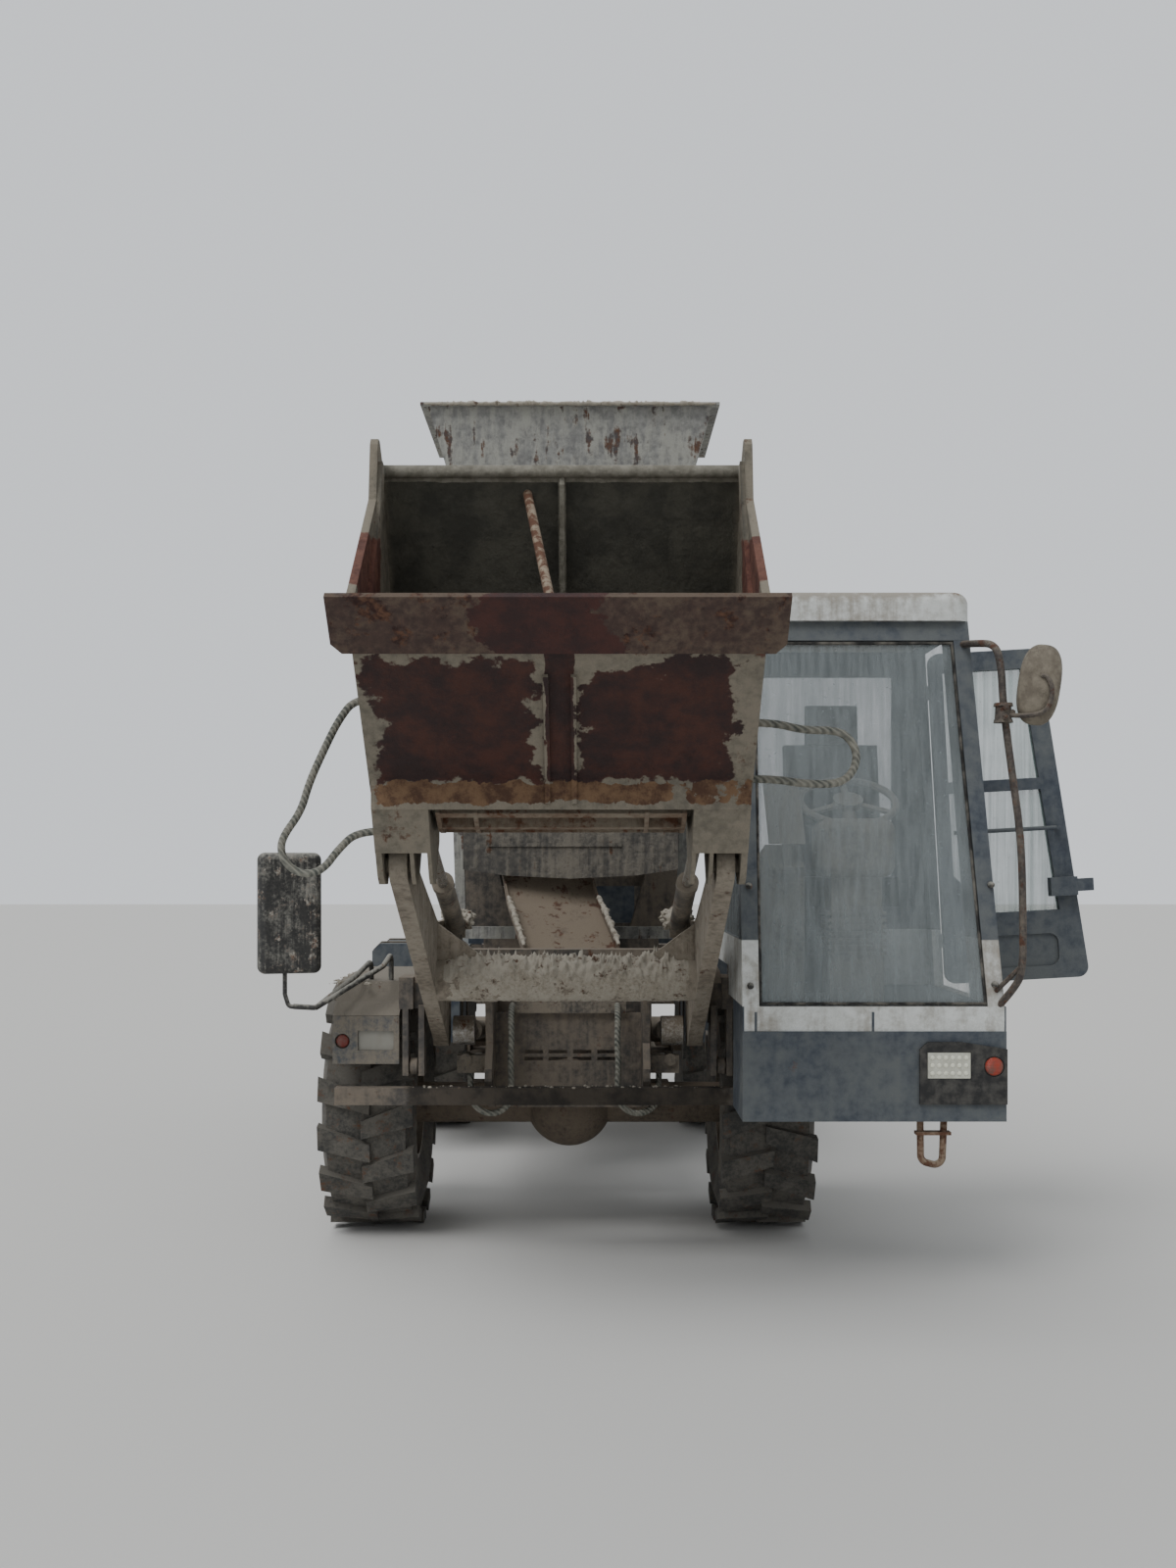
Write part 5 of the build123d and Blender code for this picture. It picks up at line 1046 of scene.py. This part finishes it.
rail_crust = bmesh.new()
for number, x in enumerate((-352, 92)):
    foot, top = chute_place(x, 64, 1243), chute_place(x, 474, 1459)
    crust(rail_crust, foot, top, 0.007, 0.016, 110, 16, 20 + number, 0.4)
new_piece("chute_rail_crust", rail_crust, raw_cement, "chute")

rim_crust = bmesh.new()
crust(rim_crust, at(-690, 322, 3797), at(690, 322, 3797), 0.006, 0.009, 200, 12, 31, 0.5)
new_piece("hopper_rim_crust", rim_crust, raw_cement, "rear_frame")

LEDGES = (
    # name, body, count, lowest corner, highest corner, largest crumb
    ("fender_crumbs", "front_frame", 170, (-1010, -560, 1111), (-700, 240, 1114), 15),
    ("arm_crumbs_left", "boom", 60, (508, -1100, 1392), (562, -900, 1398), 10),
    ("arm_crumbs_right", "boom", 60, (-562, -1100, 1392), (-508, -900, 1398), 10),
    ("cheek_crumbs_left", "front_frame", 50, (585, -330, 1186), (632, -160, 1192), 12),
    ("cheek_crumbs_right", "front_frame", 50, (-632, -330, 1186), (-585, -160, 1192), 12),
    ("nose_crumbs", "front_frame", 80, (-640, -646, 690), (640, -594, 692), 10),
    ("beam_crumbs_left", "rear_frame", 90, (366, 880, 1240), (434, 1180, 1241), 12),
    ("beam_crumbs_right", "rear_frame", 90, (-434, 880, 1240), (-366, 1180, 1241), 12),
)
dice = random.Random(7)
for name, body, count, low, high, largest in LEDGES:
    crumbs = bmesh.new()
    for number in range(count):
        spot = at(*(dice.uniform(first, second) for first, second in zip(low, high)))
        size = dice.uniform(0.25, 1) ** 2 * largest / 1000
        made = bmesh.ops.create_icosphere(crumbs, subdivisions=1, radius=size)
        for corner in made["verts"]:
            swell = 1 + 0.6 * noise.noise(corner.co * 150 + Vector((number, 0, 0)))
            corner.co = spot + Vector((corner.co.x, corner.co.y, corner.co.z * 0.6)) * swell
    new_piece(name, crumbs, raw_cement, body, smooth=False)


# Windscreen seal and post knobs: black rubber round the raked pane, and two round
# knobs on the lower half of each front post.
seal_rubber, tree, shader = material_of("seal_rubber")
place = put(tree, "ShaderNodeTexCoord").outputs["Object"]
dust = covered(tree, grain(tree, place, 14, 6, 0.65), 0.45, 0.15)
dusty = blended(tree, dust, (*tone(34, 34, 34), 1), (*tone(112, 108, 100), 1))
tree.links.new(dusty, shader.inputs["Base Color"])
shader.inputs["Roughness"].default_value = 0.8


def post_face_y(z):
    """Where the front posts' face stands at a height: it leans back 230 over 1468."""
    return -1280 + 230 * (z - 1082) / 1468


def leaned_x(x, z):
    """The outer side leans in by 3.2 degrees towards the roof."""
    return x - math.tan(math.radians(3.2)) * (z - 990)


PANE_FOOT = 1092
PANE_TOP = 2466
PANE_INNER = 728
PANE_OUTER = 1572
outer_foot = leaned_x(PANE_OUTER, PANE_FOOT)
outer_top = leaned_x(PANE_OUTER, PANE_TOP)
corners = [(PANE_INNER, PANE_FOOT), (outer_foot, PANE_FOOT), (outer_top, PANE_TOP), (PANE_INNER, PANE_TOP)]
line = bpy.data.curves.new("windscreen_seal", "CURVE")
line.dimensions = "3D"
loop = line.splines.new("POLY")
loop.points.add(len(corners) - 1)
for point, (x, z) in zip(loop.points, corners):
    point.co = (*at(x, post_face_y(z) + 12, z), 1)
loop.use_cyclic_u = True
line.bevel_depth = 0.008
line.materials.append(seal_rubber)
seal = bpy.data.objects.new("windscreen_seal", line)
bpy.context.scene.collection.objects.link(seal)
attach(seal, "front_frame")

knobs = bmesh.new()
for x, z in ((1600, 1534), (1600, 1163), (690, 1530), (690, 1158)):
    spot = turned_to(at(x, post_face_y(z), z), (0, -1, 0))
    peg(knobs, spot, 0.008, 0.013, 0.86, 0.02, 20)
    peg(knobs, spot, 0.022, 0.008, 0.86, 0.012, 20)
new_piece("post_knobs", knobs, splashed_plastic, "front_frame")


# Cab mirror: a bent steel tube on the corner post, a clamp with its bolts, and an
# oval moulded shell with the glass in its rear face, held by a bent rod.
tube_paint = weathered(
    "mirror_tube_paint",
    paint=tone(56, 50, 48),
    faded=tone(78, 70, 65),
    dust=tone(112, 104, 94),
    dust_amount=0.4,
    rust=tone(78, 54, 44),
    rust_amount=0.35,
    drips=0.2,
    scale=9.0,
    gloss_roughness=0.6,
    bump=0.002,
)


def bent_rod(name, route, radius):
    """A round steel rod on the cab, bent along a smooth line."""
    rod = smooth_tube(name, route, radius, 6, 10, tube_paint)
    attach(rod, "front_frame")
    return rod


MIRROR_TUBE = [
    (1533, -1062, 2460),
    (1556, -1160, 2450),
    (1590, -1320, 2425),
    (1606, -1340, 2340),
    (1612, -1340, 2200),
    (1645, -1340, 1950),
    (1680, -1340, 1700),
    (1686, -1340, 1400),
    (1686, -1340, 1230),
    (1668, -1320, 1160),
    (1610, -1260, 1075),
]
tube = bent_rod("cab_mirror_tube", MIRROR_TUBE, 0.014)
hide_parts("cab_mirror")
MIRROR_STEADY = [(1604, -1268, 1138), (1648, -1304, 1192), (1684, -1340, 1240)]
bent_rod("cab_mirror_steady", MIRROR_STEADY, 0.009)
MIRROR_ROD = [
    (1622, -1352, 2160),
    (1680, -1390, 2150),
    (1752, -1424, 2164),
    (1772, -1426, 2240),
    (1752, -1420, 2300),
    (1734, -1408, 2296),
]
bent_rod("cab_mirror_rod", MIRROR_ROD, 0.009)

head = bmesh.new()
facing = Matrix.Rotation(math.radians(-14), 4, "Z") @ Matrix.Rotation(math.radians(8), 4, "Y")
face = Matrix.Translation(at(1736, -1374, 2268)) @ facing
HALF_WIDTH = 0.076
HALF_HEIGHT = 0.148
STEPS = 56
SHELL = (
    # share of the outline, place from the front of the dome to the glass
    (0.12, -0.035),
    (0.45, -0.033),
    (0.74, -0.026),
    (0.92, -0.013),
    (1.0, 0.002),
    (1.0, 0.014),
    (0.97, 0.018),
    (0.93, 0.018),
    (0.92, 0.013),
)
rows = []
for share, depth in SHELL:
    row = []
    for step in range(STEPS):
        turn = 2 * math.pi * step / STEPS
        x, z = (abs(part) ** 0.75 * math.copysign(share, part) for part in (math.cos(turn), math.sin(turn)))
        row.append(head.verts.new(face @ Vector((x * HALF_WIDTH, depth, z * HALF_HEIGHT))))
    rows.append(row)
for here_row, next_row in zip(rows, rows[1:]):
    band(head, here_row, next_row)
head.faces.new(rows[0])
head.faces.new(rows[-1])
new_piece("cab_mirror_shell", head, mirror_skin, "front_frame")

clamp = bmesh.new()
middle = Matrix.Translation(at(1613, -1340, 2168))
for lift, radius, depth in ((0, 0.031, 0.05), (0.03, 0.036, 0.012), (-0.03, 0.036, 0.012)):
    peg(clamp, middle, lift, radius, 0.92, depth, 24)
bolts = [at(1613, -1370, 2186), at(1613, -1370, 2150), at(1642, -1352, 2168)]
hex_heads(clamp, bolts, (0, -1, 0), 0.012, 0.012)
new_piece("cab_mirror_clamp", clamp, tube_paint, "front_frame", smooth=False)


# Tank straps: two thin steel bands round each of the side tanks, in the same dusty
# paint as the frame.
straps = bmesh.new()
outline = [(612, 632), (612, 1154), (656, 1188), (1064, 1188), (1108, 1144), (1108, 676), (1064, 632)]
inner_outline = [(860 + (x - 860) * 0.965, 910 + (z - 910) * 0.965) for x, z in outline]
for side in (1, -1):
    for along in (1604, 1964):
        rows = []
        for y in (along, along + 42):
            rows.append([straps.verts.new(at(side * x, y, z)) for x, z in outline])
            rows.append([straps.verts.new(at(side * x, y, z)) for x, z in inner_outline])
        for first, second in ((0, 2), (2, 3), (3, 1), (1, 0)):
            band(straps, rows[first], rows[second])
new_piece("tank_straps", straps, chassis_paint, "rear_frame", smooth=False)
